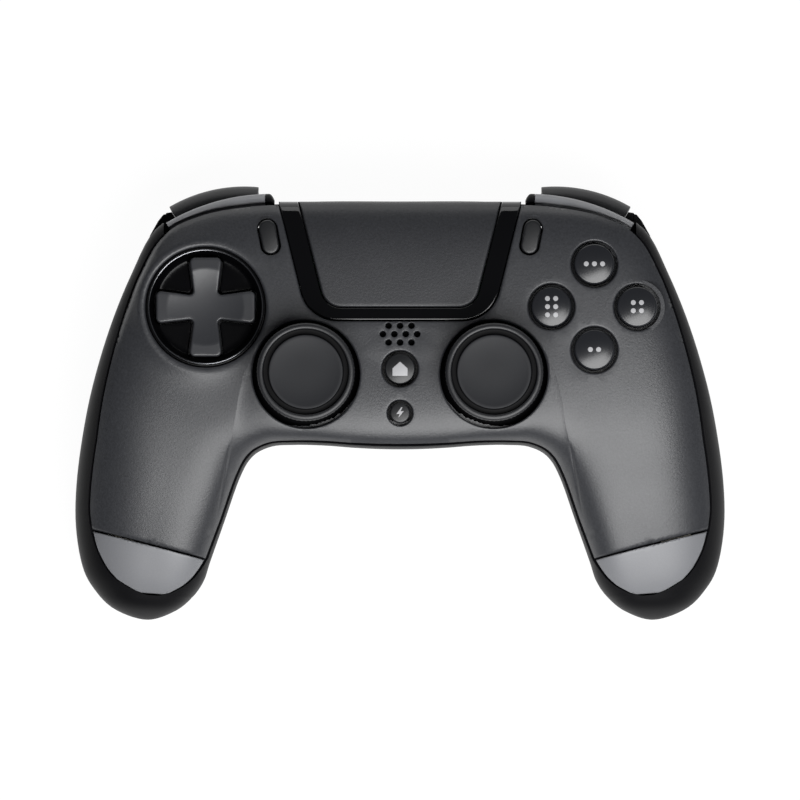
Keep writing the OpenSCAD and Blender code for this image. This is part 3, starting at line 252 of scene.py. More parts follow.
def light_of(code):
    """A colour code such as #6b6c6e as linear light."""
    parts = [int(code[i:i + 2], 16) / 255 for i in (1, 3, 5)]
    return [p / 12.92 if p <= 0.04045 else ((p + 0.055) / 1.055) ** 2.4 for p in parts]


def finish(name, code, rough, grain=3000, depth=0.01, tone=0.25, smear=0.06, metallic=0.0,
           coat=0.0, coat_rough=0.05, specular=0.5):
    """A moulded, rubber or metal surface with grain, tone and smears."""
    material = bpy.data.materials.new(name)
    material.use_nodes = True
    tree = material.node_tree
    n, link = tree.nodes, tree.links
    shader = n["Principled BSDF"]
    shader.inputs["Metallic"].default_value = metallic
    shader.inputs["Coat Weight"].default_value = coat
    shader.inputs["Coat Roughness"].default_value = coat_rough
    shader.inputs["Specular IOR Level"].default_value = specular
    place = n.new("ShaderNodeTexCoord")
    fine = n.new("ShaderNodeGroup")
    fine.node_tree = GRAIN
    fine.inputs["Scale"].default_value = grain
    broad = n.new("ShaderNodeGroup")
    broad.node_tree = SMEARS
    link.new(place.outputs["Object"], fine.inputs["Vector"])
    link.new(place.outputs["Object"], broad.inputs["Vector"])
    colour = light_of(code)
    shift = n.new("ShaderNodeMath")
    shift.operation = "MULTIPLY_ADD"
    shift.inputs[1].default_value = tone
    shift.inputs[2].default_value = 0.5
    link.new(fine.outputs["Tone"], shift.inputs[0])
    tint = n.new("ShaderNodeMix")
    tint.data_type = "RGBA"
    tint.inputs["A"].default_value = (*[c * TINT_DARK for c in colour], 1)
    tint.inputs["B"].default_value = (*[min(c * TINT_BRIGHT, 1) for c in colour], 1)
    link.new(shift.outputs[0], tint.inputs["Factor"])
    link.new(tint.outputs["Result"], shader.inputs["Base Color"])
    gloss = n.new("ShaderNodeMath")
    gloss.operation = "MULTIPLY_ADD"
    gloss.inputs[1].default_value = smear
    gloss.inputs[2].default_value = rough - smear / 2
    link.new(broad.outputs["Mask"], gloss.inputs[0])
    link.new(gloss.outputs[0], shader.inputs["Roughness"])
    bump = n.new("ShaderNodeBump")
    bump.inputs["Strength"].default_value = 1
    bump.inputs["Distance"].default_value = depth * mm
    link.new(fine.outputs["Height"], bump.inputs["Height"])
    link.new(bump.outputs["Normal"], shader.inputs["Normal"])
    return material


# %% Finishes of this controller
LOOKS = {
    "shell_graphite": finish("satin_graphite", "#2c2d30", 0.4, grain=1900, depth=0.04, tone=1.5),
    "shell_black": finish("matt_black", "#0a0a0c", 0.5, grain=2200, depth=0.02, specular=0.11),
    "cap_grey": finish("satin_grey", "#6c6d70", 0.45, depth=0.008),
    "gloss_black": finish("polished_black", "#040405", 0.07, depth=0.0, smear=0.03),
    "dish_black": finish("dish_black", "#030304", 0.25, depth=0.001, smear=0.04, specular=0.14),
    "pad_grey": finish("touch_grey", "#26272a", 0.45, grain=1900, depth=0.04, tone=1.5),
    "cross_grey": finish("cross_grey", "#2a2b2e", 0.38, depth=0.006, tone=0.4),
    "button_black": finish("button_black", "#1c1d20", 0.25, depth=0.001, smear=0.04),
    "key_dark": finish("key_dark", "#111214", 0.4, depth=0.006),
    "stick_rubber": finish("stick_rubber", "#191a1d", 0.6, grain=2500, depth=0.01, specular=0.3),
    # The bumper's light grey is painted sheen, for the back light's reflection along its top.
    "bumper_grey": finish("bumper_grey", "#8c8d90", 0.4, depth=0.005),
    "trigger_black": finish("trigger_black", "#1c1d1f", 0.5, grain=1800, depth=0.03),
    "membrane_rubber": finish("membrane_rubber", "#3a3d42", 0.6, depth=0.006),
    "moulded_black": finish("moulded_black", "#202226", 0.5, depth=0.006),
    "moulded_pale": finish("moulded_pale", "#d8d4c8", 0.5, depth=0.004, tone=0.1),
    "board_green": finish("board_green", "#1f4a2e", 0.35, grain=900, depth=0.01, coat=0.4),
    "steel": finish("bright_steel", "#c4c6c9", 0.28, grain=1500, depth=0.003, tone=0.15, metallic=1.0),
    "screw_steel": finish("dark_steel", "#55575a", 0.35, grain=1500, depth=0.003, metallic=1.0),
    "weight_metal": finish("sintered_metal", "#8d8a80", 0.5, grain=2500, depth=0.01, metallic=1.0),
    "battery_wrap": finish("cell_wrap", "#3b4a6b", 0.3, depth=0.004, coat=0.3),
    "mark_white": finish("mark_white", "#9c9c9e", 0.45, depth=0.002, tone=0.1),
    # Bright steel for the thin ring that stands in for the highlight along the dish's lip.
    "dish_ring": finish("dish_ring", "#77787b", 0.25, depth=0.001, tone=0.1, metallic=1.0),
    "stick_ring": finish("stick_ring", "#131417", 0.45, depth=0.006, tone=0.3),
    # Near black with little gloss: painted shade for the stick's groove and the gap round its cap.
    "stick_painted_shade": finish("stick_painted_shade", "#050506", 0.6, depth=0.004, specular=0.1),
    "speaker_cloth": finish("speaker_cloth", "#070708", 0.9, grain=1200, depth=0.02, specular=0.1),
}
for part in frame["record"]["subparts"]:
    look = LOOKS["speaker_cloth" if part["node"] == "speaker" else part["material_slot"]]
    piece = nodes[part["node"]]
    for holder in piece.material_slots:
        holder.material = look
    if not piece.material_slots:
        piece.data.materials.append(look)
print("finishes", len(LOOKS))

# %% [markdown]
# ## Form of the case
# The case is a tube bent into an arch, as in the CAD source: rows cut across it from the
# left grip's tip to the middle, and each cut is a rounded shape between its inner end,
# outer end, crest and floor. The same rows are used here at a finer step, so the shells
# are smooth, and so that any point of the face can be found again from its plan.

# %% Rows of the case
SIDE, TIP, FRONT, BACK = 80.0, -53.3, -12.0, 48.8
ROWS = np.array([
    [SIDE - 17.5, TIP, SIDE - 17.5, TIP, 13, 13, 13],
    [SIDE - 24.5, TIP + 2.1, SIDE - 9.5, TIP + 2.7, 21.5, 4.5, 13.2],
    [SIDE - 29, TIP + 5.7, SIDE - 4.5, TIP + 7.7, 25, 1.2, 13.8],
    [SIDE - 31.7, TIP + 9.6, SIDE - 1.7, TIP + 13.3, 27.5, -0.3, 14.6],
    [SIDE - 33.3, TIP + 14.3, SIDE - 0.15, TIP + 22.8, 30, -0.5, 15.8],
    [SIDE - 36.8, FRONT - 17.2, SIDE - 0.3, FRONT - 8.5, 33, 0.3, 17.8],
    [SIDE - 40.6, FRONT - 6.6, SIDE - 1.8, FRONT + 3.2, 35.6, 2, 20.2],
    [SIDE - 43.8, FRONT - 1.4, SIDE - 4.4, FRONT + 15.8, 37.4, 3.6, 22.6],
    [SIDE - 48.5, FRONT + 0.9, SIDE - 8.7, FRONT + 30, 38.6, 4.6, 24.8],
    [SIDE - 54, FRONT + 1.2, SIDE - 14, BACK - 17.8, 39.4, 4.8, 26.8],
    [SIDE - 58.5, FRONT + 1.1, SIDE - 20, BACK - 6.8, 39.8, 4, 28.2],
    [SIDE - 63, FRONT + 0.85, SIDE - 29.5, BACK - 2.2, 40, 2.6, 29],
    [11.5, FRONT + 0.4, SIDE - 43, BACK - 0.5, 40, 1, 29.3],
    [5.8, FRONT + 0.1, 18.5, BACK, 40, 0, 29.4],
    [0, FRONT, 0, BACK, 40, -0.5, 29.4],
])
MID = len(ROWS) - 1
AHEAD = ROWS[1][[2, 3, 0, 1, 5, 4, 6]]
ACROSS = ROWS[MID - 1] * [-1, 1, -1, 1, 1, 1, 1]
TABLE = np.vstack([AHEAD, ROWS, ACROSS])
WALL, SEAM = 2.2, 0.1
CAP_START, CAP_END = 1.8, 4.0
# Rows, and how far the front shell's edge lies in from the case's outline there
OUTER_INSET = np.array([[1.8, 12.4], [2, 10], [2.5, 7.2], [3, 5.8], [3.5, 4.6], [4, 3.9], [4.5, 3.4],
                        [6, 3.5], [8, 2.5], [9, 1.9], [10, 2.4], [11, 1.6], [12, 0.5],
                        [13, 0.15], [14, 0.1]])
INNER_INSET = np.array([[1.8, 7.6], [2, 5.2], [2.5, 3.3], [3, 2.2], [4, 0.6], [5, 0.4], [14, 0.4]])


def cut(t):
    """Cuts across the case at rows t, on a smooth curve through the table."""
    t = np.asarray(t, float)
    i = np.minimum(np.floor(t).astype(int), MID - 1)
    f = (t - i)[..., None]
    a, b, c, d = (TABLE[i + k] for k in range(4))
    return b + 0.5 * f * ((c - a) + f * ((2 * a - 5 * b + 4 * c - d) + f * (3 * b - 3 * c + d - a)))


def half(t):
    return np.minimum(t, 2 * MID - t)


def traits(t, up, out):
    """Place of the crest or floor along a cut, and how square that quarter of it is."""
    f = np.clip((t - 5) / 4, 0, 1)
    body = f * f * (3 - 2 * f)
    middle = np.where(up, 0.45 - 0.03 * body, 0.5 + 0.08 * body)
    square = np.where(up, np.where(out, 2.5 + 1.5 * body, 3.2 + 1.3 * body), np.where(out, 2.6, 2.3))
    return middle, square


print("rows", len(ROWS), "middle cut", cut(float(MID)).round(1))


# %% Points on the case
def skin(t, v, depth=0.0):
    """Points on the case at rows t and angles v round the cut, at a depth under the surface."""
    t, v, depth = np.broadcast_arrays(np.asarray(t, float), v, depth)
    h = half(t)
    c = cut(h)
    inner, outer = c[..., 0:2], c[..., 2:4]
    along = outer - inner
    along = along / np.maximum(np.linalg.norm(along, axis=-1), 0.01)[..., None]
    a, b = inner + along * depth[..., None], outer - along * depth[..., None]
    cs, sn = np.cos(v), np.sin(v)
    up, out = sn >= 0, cs >= 0
    m, square = traits(h, up, out)
    reach = np.abs(cs) ** (2 / square)
    s = np.where(out, m + (1 - m) * reach, m - m * reach)
    p = a + (b - a) * s[..., None]
    rise = np.where(up, c[..., 4] - c[..., 6], c[..., 6] - c[..., 5]) - depth
    z = c[..., 6] + np.where(up, 1, -1) * rise * np.abs(sn) ** (2 / square)
    return np.stack([np.where(t > MID, 1, -1) * p[..., 0], p[..., 1], z], -1)


def edge(t, gap, outer):
    """Angle of the front shell's outer or inner edge at rows t, a gap further in."""
    h = half(np.asarray(t, float))
    c = cut(h)
    wide = np.hypot(c[..., 2] - c[..., 0], c[..., 3] - c[..., 1])
    m, square = traits(h, True, outer)
    table = OUTER_INSET if outer else INNER_INSET
    inset = np.interp(h, table[:, 0], table[:, 1]) + gap
    share = (1 - m if outer else m) * wide
    v = np.arccos(np.clip(1 - inset / share, 0, 1) ** (square / 2))
    return v if outer else math.pi - v


def face_z(x, y):
    """Height of the face over points of the plan."""
    x, y = np.broadcast_arrays(np.abs(np.asarray(x, float)), np.asarray(y, float))
    lo, hi = np.full(x.shape, 1.0), np.full(x.shape, float(MID))
    for _ in range(26):
        t = (lo + hi) / 2
        c = cut(t)
        before = (c[..., 0] - c[..., 2]) * (y - c[..., 1]) - (c[..., 3] - c[..., 1]) * (c[..., 0] - x) < 0
        lo, hi = np.where(before, t, lo), np.where(before, hi, t)
    d = c[..., 2:4] - c[..., 0:2]
    s = ((x - c[..., 0]) * d[..., 0] + (y - c[..., 1]) * d[..., 1]) / (d ** 2).sum(-1)
    m = traits(t, True, True)[0]
    square = traits(t, True, s > m)[1]
    off = np.clip(np.abs(s - m) / np.where(s > m, 1 - m, m), 0, 1)
    return c[..., 6] + (c[..., 4] - c[..., 6]) * (1 - off ** square) ** (1 / square)


print("face over a stick", round(float(face_z(23, 5.9)), 2))
print("shell's outer edge at row 10", skin(10.0, edge(10.0, 0, True)).round(2))

# %% [markdown]
# ## Loops in plan
# Outlines, holes and marks are all drawn first as loops of points, seen from above. Curve
# objects could hold them, but an array of points is rounded, grown, refined and measured
# in a few lines, and goes straight into a mesh.

# %% Loops in plan
RIM_STEPS = np.radians([0, 18, 36, 54, 72, 90])


def circle(x, y, r, count=72):
    a = np.linspace(0, 2 * math.pi, count, endpoint=False)
    return np.stack([x + r * np.cos(a), y + r * np.sin(a)], 1)


def area_of(loop):
    x, y = loop[:, 0], loop[:, 1]
    return 0.5 * float(np.sum(x * np.roll(y, -1) - np.roll(x, -1) * y))


def grown(loop, by):
    """The loop, which runs against the clock, moved outwards along its own normals."""
    d1, d0 = np.roll(loop, -1, 0) - loop, loop - np.roll(loop, 1, 0)
    n1, n0 = (np.stack([d[:, 1], -d[:, 0]], 1) / np.maximum(np.linalg.norm(d, axis=1), 1e-9)[:, None]
              for d in (d1, d0))
    n = n0 + n1
    return loop + n / np.maximum((n ** 2).sum(1) / 2, 0.3)[:, None] * by


def rounded(corners, radii, steps=8):
    """A polygon, against the clock, with each corner replaced by an arc."""
    corners = np.asarray(corners, float)
    out = []
    for k, (p, r) in enumerate(zip(corners, np.broadcast_to(radii, len(corners)))):
        a, b = corners[k - 1] - p, corners[(k + 1) % len(corners)] - p
        a, b = a / np.linalg.norm(a), b / np.linalg.norm(b)
        turn = math.acos(float(np.clip(a @ b, -1, 1)))
        if r <= 0 or abs(turn - math.pi) < 1e-3:
            out.append(p)
            continue
        reach = r / math.tan(turn / 2)
        middle = p + (a + b) / np.linalg.norm(a + b) * r / math.sin(turn / 2)
        start, stop = p + a * reach - middle, p + b * reach - middle
        a0, a1 = math.atan2(start[1], start[0]), math.atan2(stop[1], stop[0])
        swing = (a1 - a0 + math.pi) % (2 * math.pi) - math.pi
        arc = a0 + swing * np.linspace(0, 1, steps)
        out += [middle + r * np.array([math.cos(q), math.sin(q)]) for q in arc]
    return np.array(out)


print("area of a rounded square", round(area_of(rounded([(0, 0), (1, 0), (1, 1), (0, 1)], 0.2)), 3))


# %% Finer paths and distances
def finer(path, step, closed=True):
    """The path with points added so that none is further than a step from the next."""
    path = np.asarray(path, float)
    ends = np.roll(path, -1, 0) if closed else path[1:]
    out = []
    for p, q in zip(path, ends):
        n = max(1, int(np.ceil(np.linalg.norm(q - p) / step)))
        out += [p + (q - p) * i / n for i in range(n)]
    return np.array(out if closed else out + [path[-1]])


def inside(points, loop):
    x, y = points[:, 0][:, None], points[:, 1][:, None]
    x0, y0 = loop[:, 0], loop[:, 1]
    x1, y1 = np.roll(x0, -1), np.roll(y0, -1)
    over = (y0 > y) != (y1 > y)
    with np.errstate(divide="ignore", invalid="ignore"):
        at = x0 + (y - y0) * (x1 - x0) / (y1 - y0)
    return (np.sum(over & (x < at), 1) % 2) == 1


def distance(points, path, closed=True):
    best = np.full(len(points), 1e9)
    for p, q in zip(path, np.roll(path, -1, 0) if closed else path[1:]):
        d = q - p
        f = np.clip((points - p) @ d / max(d @ d, 1e-12), 0, 1)
        best = np.minimum(best, np.linalg.norm(points - p - f[:, None] * d, axis=1))
    return best


print("from a circle's middle to its rim", distance(np.zeros((1, 2)), circle(0, 0, 5)).round(2))

# %% [markdown]
# ## Dressing a piece
# Every finished piece goes through the steps that are done by hand in Blender: select it,
# merge its doubles, turn its faces outwards, shade it smooth up to an angle, and give it a
# material. It then rides on a body, so that it moves with its joint, and stands for a CAD
# node, which is hidden. One function for each step keeps the order right for all pieces.

# %% Pieces and their dress
def pick(*pieces):
    bpy.ops.object.select_all(action="DESELECT")
    for piece in pieces:
        piece.select_set(True)
    bpy.context.view_layer.objects.active = pieces[0]


def smooth(piece, angle=40):
    pick(piece)
    bpy.ops.object.shade_smooth_by_angle(angle=math.radians(angle))


def raw_piece(name, points, edges, faces):
    """A mesh object from points in millimetres."""
    mesh = bpy.data.meshes.new(name)
    faces = [[int(i) for i in face] for face in faces]
    mesh.from_pydata((np.asarray(points, float) * mm).tolist(), edges, faces)
    piece = bpy.data.objects.new(name, mesh)
    bpy.context.scene.collection.objects.link(piece)
    return piece


def dress(piece, look, body, slot, *replaced):
    """Gives a piece its finish and its body, and says which nodes it stands for. The slot is not used."""
    piece.data.materials.clear()
    piece.data.materials.append(LOOKS[look])
    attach(piece, body)
    if replaced:
        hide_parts(*replaced)
    print("piece", piece.name, len(piece.data.polygons), "faces on", body)
    return piece


print("tools for dressing", [tool.__name__ for tool in (pick, smooth, raw_piece, dress)])


# %% Closing, modifying and joining
MERGE = 1e-7


def close_up(piece, angle=40):
    """Merges doubles, drops loose points and turns all faces outwards, as by hand."""
    pick(piece)
    bpy.ops.object.mode_set(mode="EDIT")
    bpy.ops.mesh.select_all(action="SELECT")
    bpy.ops.mesh.delete_loose()
    bpy.ops.mesh.select_all(action="SELECT")
    bpy.ops.mesh.remove_doubles(threshold=MERGE)
    bpy.ops.mesh.normals_make_consistent(inside=False)
    bpy.ops.object.mode_set(mode="OBJECT")
    smooth(piece, angle)
    return piece


def apply(piece, kind, **values):
    """Adds a modifier to a piece and applies it."""
    pick(piece)
    modifier = piece.modifiers.new(kind.lower(), kind)
    for key, value in values.items():
        setattr(modifier, key, value)
    bpy.ops.object.modifier_apply(modifier=modifier.name)


def joined(*pieces):
    pick(*pieces)
    bpy.ops.object.join()
    return pieces[0]


print("tools for closing", [tool.__name__ for tool in (close_up, apply, joined)])

# %% [markdown]
# ## Blocks, turned pieces and cuts
# Buttons, sticks, bumpers and triggers are round, so each is drawn as half a section and
# spun, as on a lathe. A cylinder with a bevel would do for a plain button, but a section
# gives the crown, the corner and the flange at once. Ribs, lugs and arms are blocks, and
# holes in the tub are cut with a boolean.

# %% Blocks and turned pieces
def box(name, x0, x1, y0, y1, z0, z1):
    """A block between two corners, from a cube that is stretched and moved in edit mode."""
    bpy.ops.object.select_all(action="DESELECT")
    bpy.ops.mesh.primitive_cube_add(size=1)
    piece = bpy.context.object
    piece.name = name
    bpy.ops.object.mode_set(mode="EDIT")
    bpy.ops.transform.resize(value=((x1 - x0) * mm, (y1 - y0) * mm, (z1 - z0) * mm))
    bpy.ops.transform.translate(value=((x0 + x1) / 2 * mm, (y0 + y1) / 2 * mm, (z0 + z1) / 2 * mm))
    bpy.ops.object.mode_set(mode="OBJECT")
    return piece


def spun(name, profile, centre=(0, 0), sweep=(0, 360), steps=96, closed=False, angle=40):
    """A profile of radii and heights turned about an upright axis, with its ends closed."""
    a = math.radians(sweep[0])
    points = [(centre[0] + r * math.cos(a), centre[1] + r * math.sin(a), z) for r, z in profile]
    edges = [(i, i + 1) for i in range(len(points) - 1)] + ([(len(points) - 1, 0)] if closed else [])
    piece = raw_piece(name, points, edges, [])
    pick(piece)
    bpy.ops.object.mode_set(mode="EDIT")
    bpy.ops.mesh.select_all(action="SELECT")
    # The operator turns with the clock about an axis that points up, so the axis points down
    bpy.ops.mesh.spin(steps=steps, angle=math.radians(sweep[1] - sweep[0]),
                      center=(centre[0] * mm, centre[1] * mm, 0), axis=(0, 0, -1))
    bpy.ops.mesh.select_all(action="SELECT")
    bpy.ops.mesh.remove_doubles(threshold=MERGE)
    if sweep[1] - sweep[0] < 360:
        bpy.ops.mesh.fill_holes(sides=0)
    bpy.ops.object.mode_set(mode="OBJECT")
    return close_up(piece, angle)


print("blocks and turned pieces", [maker.__name__ for maker in (box, spun)])


# %% Pulled pieces and cuts
def prism(name, loop, z0, z1):
    """A plan loop pulled up between two heights."""
    loop = np.asarray(loop)
    piece = raw_piece(name, np.column_stack([loop, np.full(len(loop), z0)]), [], [range(len(loop))])
    pick(piece)
    bpy.ops.object.mode_set(mode="EDIT")
    bpy.ops.mesh.select_all(action="SELECT")
    bpy.ops.mesh.extrude_region_move(TRANSFORM_OT_translate={"value": (0, 0, (z1 - z0) * mm)})
    bpy.ops.object.mode_set(mode="OBJECT")
    return close_up(piece, 30)


def cut_from(piece, cutters, operation="DIFFERENCE"):
    """Cuts the given pieces from a piece, or joins them to it, and removes them."""
    group = bpy.data.collections.new("cutters")
    for cutter in cutters:
        group.objects.link(cutter)
    apply(piece, "BOOLEAN", operation=operation, operand_type="COLLECTION", collection=group,
          solver="EXACT")
    for cutter in cutters:
        bpy.data.objects.remove(cutter)
    bpy.data.collections.remove(group)


print("pulled pieces and cuts", [maker.__name__ for maker in (prism, cut_from)])

# %% [markdown]
# ## Sheets with rounded rims
# Most of what is seen is a sheet on that form: the face with its holes, the caps, the
# click pad, its frame and the cross. A boolean would leave ragged triangles round every
# hole, so each sheet is laid out in plan instead. Its outline and holes are loops, a few
# rings beside each loop carry the rounding of the rim, a grid fills the rest, and a
# triangulation that keeps the loops joins them. The top is then lifted to its height.

# %% Sheets
class Sheet:
    """Points of a sheet: their plan, top and underside, and the loops that bound it."""

    def __init__(self, height, under):
        self.height, self.under = height, under
        self.plan, self.top, self.low, self.loops = [], [], [], []

    def add(self, plan, top, low):
        start = sum(map(len, self.plan))
        for store, points in ((self.plan, plan), (self.top, top), (self.low, low)):
            store.append(np.array(points, float))
        return np.arange(start, start + len(plan))

    def lift(self, plan, sink=0.0):
        """Adds points of the plan at their height, or sunk under it."""
        top = np.column_stack([plan, self.height(plan[:, 0], plan[:, 1]) - sink])
        return self.add(plan, top, self.under(plan[:, 0], plan[:, 1]))

    def rim(self, loop, radius, outward):
        """A loop with rings that round its rim. Outward is 1 for a hole, and -1 for an outline."""
        loop = loop if area_of(loop) > 0 else loop[::-1]
        for k, a in enumerate(RIM_STEPS):
            ring = grown(loop, outward * radius * (1 - math.cos(a)))
            ids = self.lift(ring, radius * (1 - math.sin(a)))
            if k == 0:
                self.loops.append(ids)
        return loop

    def bounds(self):
        plan = np.vstack(self.plan)
        return [plan[ids] for ids in self.loops]

    def free(self, plan, clear):
        """Which points lie on the sheet and keep clear of its loops."""
        loops = self.bounds()
        keep = inside(plan, loops[0])
        for loop in loops[1:]:
            keep &= ~inside(plan, loop)
        near = [distance(plan[keep], loop) for loop in loops]
        keep[keep] = np.min(near, axis=0) > clear
        return keep

    def build(self, name):
        plan, top, low = (np.vstack(p) for p in (self.plan, self.top, self.low))
        edges = [(int(a), int(b)) for ids in self.loops for a, b in zip(ids, np.roll(ids, -1))]
        found = delaunay_2d_cdt([Vector(p) for p in plan], edges, [], 0, 1e-7, True)
        origin = np.array([ids[0] if ids else -1 for ids in found[3]])
        tris = np.array([origin[list(f)] for f in found[2] if len(f) == 3])
        tris = tris[(tris >= 0).all(1)]
        middles = plan[tris].mean(1)
        loops = self.bounds()
        keep = inside(middles, loops[0])
        for loop in loops[1:]:
            keep &= ~inside(middles, loop)
        tris = tris[keep]
        a, b, c = (plan[tris[:, k]] for k in range(3))
        turn = (b - a)[:, 0] * (c - a)[:, 1] - (b - a)[:, 1] * (c - a)[:, 0]
        tris = np.where((turn < 0)[:, None], tris[:, ::-1], tris)
        n = len(plan)
        faces = [*tris, *(tris[:, ::-1] + n)]
        for k, ids in enumerate(self.loops):
            ids = ids if (k == 0) == (area_of(plan[ids]) > 0) else ids[::-1]
            faces += [(a, n + a, n + b, b) for a, b in zip(ids, np.roll(ids, -1))]
        return close_up(raw_piece(name, np.vstack([top, low]), [], faces))


def lattice(loop, step):
    """Staggered points over the box of a loop."""
    lo, hi = loop.min(0), loop.max(0)
    x, y = np.meshgrid(np.arange(lo[0], hi[0] + step, step), np.arange(lo[1], hi[1] + step, step))
    x[1::2] += step / 2
    return np.column_stack([x.ravel(), y.ravel()])


def flat_under(z):
    return lambda x, y: np.column_stack([x, y, np.full(len(x), z)])


print("lattice of a circle", len(lattice(circle(0, 0, 5), 1.0)), "points")

# %% [markdown]
# ## Places on the face
# Where the holes and pieces of the face are, in the same millimetres as in the CAD source.
# They could be read back from the boxes of the nodes, but a hole has no node of its own,
# so both files hold the same short list.

# %% Places
STICK, STICK_HOLE = (23.0, 5.9), 13.2
PAD, DISH_HOLE = (47.6, 22.4), 14.75
RING, BUTTON_HOLE = 10.5, 5.75
BUTTONS = {"top": (PAD[0], PAD[1] + RING), "right": (PAD[0] + RING, PAD[1]),
           "bottom": (PAD[0], PAD[1] - RING), "left": (PAD[0] - RING, PAD[1])}
HOME, HOME_HOLE = (0.0, 7.2), 4.5
TURBO, TURBO_HOLE = (0.0, -3.6), 3.15
OVAL, OVAL_LEAN, OVAL_W, OVAL_L = (32.1, 39.6), math.radians(11), 4.2, 8.4
SPEAKER_Y, GRILLE_R, GRILLE_PITCH, GRILLE_ROW = 15.7, 0.77, 2.8, 2.05
CLICK_Y, CLICK_FRONT, CLICK_SLOPE = 22.4, 18.2, 0.2479
FRAME_SIDE, FRAME_FRONT = 4.2, 3.3
CLICK_CORNER, BUMPER_TOP = 5, 32.6


def click_path(grow, grow_front, back):
    """The click pad's outline, grown: from the back's left down, across and up to its right."""
    corner, y0, w0 = CLICK_CORNER + grow, CLICK_Y - grow_front, CLICK_FRONT + grow
    w1 = w0 + CLICK_SLOPE * (back - y0)
    loop = rounded([(-w1, back), (-w0, y0), (w0, y0), (w1, back)], [0, corner, corner, 0], 16)
    return finer(loop, 0.8, False)


def oval_loop(s, grow):
    w, l = OVAL_W / 2 + grow, OVAL_L / 2 + grow
    a = np.linspace(0, 2 * math.pi, 48, endpoint=False)
    x, y = w * np.cos(a), w * np.sin(a) + np.where(np.sin(a) >= 0, l - w, w - l)
    c, d = math.cos(-s * OVAL_LEAN), math.sin(-s * OVAL_LEAN)
    return finer(np.column_stack([x * c - y * d, x * d + y * c]) + [s * OVAL[0], OVAL[1]], 0.6)


print("click pad outline", len(click_path(0, 0, BACK)), "points, oval", len(oval_loop(1, 0)))

# %% [markdown]
# ## Front shell
# The satin face of the controller, from the seam of one grip cap round the front edge to
# the other. Its outline follows the case's rows, apart from the back, where the frame of
# the click pad takes a bite out of it. The collar round the dish swells up out of the
# face, and a crease runs from each stick down the inside of its grip, first as a soft
# fold and then as a thin groove. Sculpting could give both, but a height over the plan is
# the same on both sides and on every run.

# %% Crease and collar
CREASE = np.array([[35.3, 11.8], [36.9, 8.8], [38.3, 5.4], [39.6, 0], [40.5, -6.1], [42.0, -12.8],
                   [43.5, -21.4], [45.4, -31.4]])
FOLD_DEPTH, FOLD_W, GROOVE_DEPTH, GROOVE_W = 0.2, 2.0, 0.3, 0.28
# Where along the crease the groove starts, and how steeply fold and groove come and go
GROOVE_FROM, FOLD_IN, FOLD_OUT, GROOVE_IN, GROOVE_OUT = 0.66, 4, 6, 12, 8
COLLAR_TOP, COLLAR_R, COLLAR_TURN, COLLAR_FOOT, COLLAR_REACH = 39.8, 16.1, 0.5, 2.2, 26


def crease_drop(x, y):
    """How far the crease lies under the face."""
    p = np.column_stack([np.abs(x), y])
    best, side, run = np.full(len(p), 1e9), np.zeros(len(p)), np.zeros(len(p))
    for k, (a, b) in enumerate(zip(CREASE[:-1], CREASE[1:])):
        d = b - a
        f = np.clip((p - a) @ d / (d @ d), 0, 1)
        off = p - a - f[:, None] * d
        far = np.linalg.norm(off, axis=1)
        near = far < best
        best = np.where(near, far, best)
        side = np.where(near, off[:, 0] * d[1] - off[:, 1] * d[0], side)
        run = np.where(near, (k + f) / (len(CREASE) - 1), run)
    fold = np.clip(run * FOLD_IN, 0, 1) * np.clip((1 - run) * FOLD_OUT, 0, 1)
    groove = np.clip((run - GROOVE_FROM) * GROOVE_IN, 0, 1) * np.clip((1 - run) * GROOVE_OUT, 0, 1)
    dent = FOLD_DEPTH * fold * best / FOLD_W * np.exp(1 - best / FOLD_W)
    return np.where(side > 0, dent, 0) + GROOVE_DEPTH * groove * np.exp(-(best / GROOVE_W) ** 2)


def shell_height(x, y):
    """Height of the face with the collar round the dish."""
    z = face_z(x, y)
    off = np.clip(np.hypot(x + PAD[0], y - PAD[1]) - COLLAR_R, 0, None)
    swell = np.exp(-off ** 2 / (COLLAR_FOOT * (COLLAR_TURN + off)))
    return z + np.maximum(COLLAR_TOP - z, 0) * swell


print("crease at its middle lies", crease_drop(np.array([40.5]), np.array([-6.1])).round(3), "under the face")


# %% Outline of the front shell
FRAME_GAP, END_STEPS = 0.2, 40


def shell_under(x, y):
    return np.column_stack([x, y, face_z(x, y) - WALL])


def shell_ring(d, sink):
    """The outline moved in by d: front edge, right end, back edge with its bite, left end."""
    lo, hi = CAP_END + d / 8, 2 * MID - CAP_END - d / 8
    t = np.clip(np.linspace(CAP_END, 2 * MID - CAP_END, 221), lo, hi)
    v_in, v_out = edge(t, SEAM + d, False), edge(t, SEAM + d, True)
    bite = click_path(FRAME_SIDE + FRAME_GAP + d, FRAME_FRONT + FRAME_GAP + d, BACK + 4)
    back = skin(t, v_out, sink)
    free = np.flatnonzero(~inside(back[:, :2], bite))[::-1]
    right, left = free[t[free] > MID], free[t[free] < MID]
    bite = bite[::-1][bite[::-1][:, 1] < back[right[-1], 1] - 0.2]
    f = np.linspace(0, 1, END_STEPS)[1:-1]
    right_end = (np.full(len(f), hi), v_in[-1] + (v_out[-1] - v_in[-1]) * f)
    left_end = (np.full(len(f), lo), v_out[0] + (v_in[0] - v_out[0]) * f)
    runs = [(t, v_in), right_end, (t[right], v_out[right]), None, (t[left], v_out[left]), left_end]
    top, low = [], []
    for run in runs:
        if run is None:
            top.append(np.column_stack([bite, face_z(*bite.T) - sink]))
            low.append(shell_under(*bite.T))
        else:
            top.append(skin(*run, sink))
            low.append(skin(*run, WALL))
    return np.vstack(top), np.vstack(low)


print("outline of the front shell", len(shell_ring(0, 0)[0]), "points")


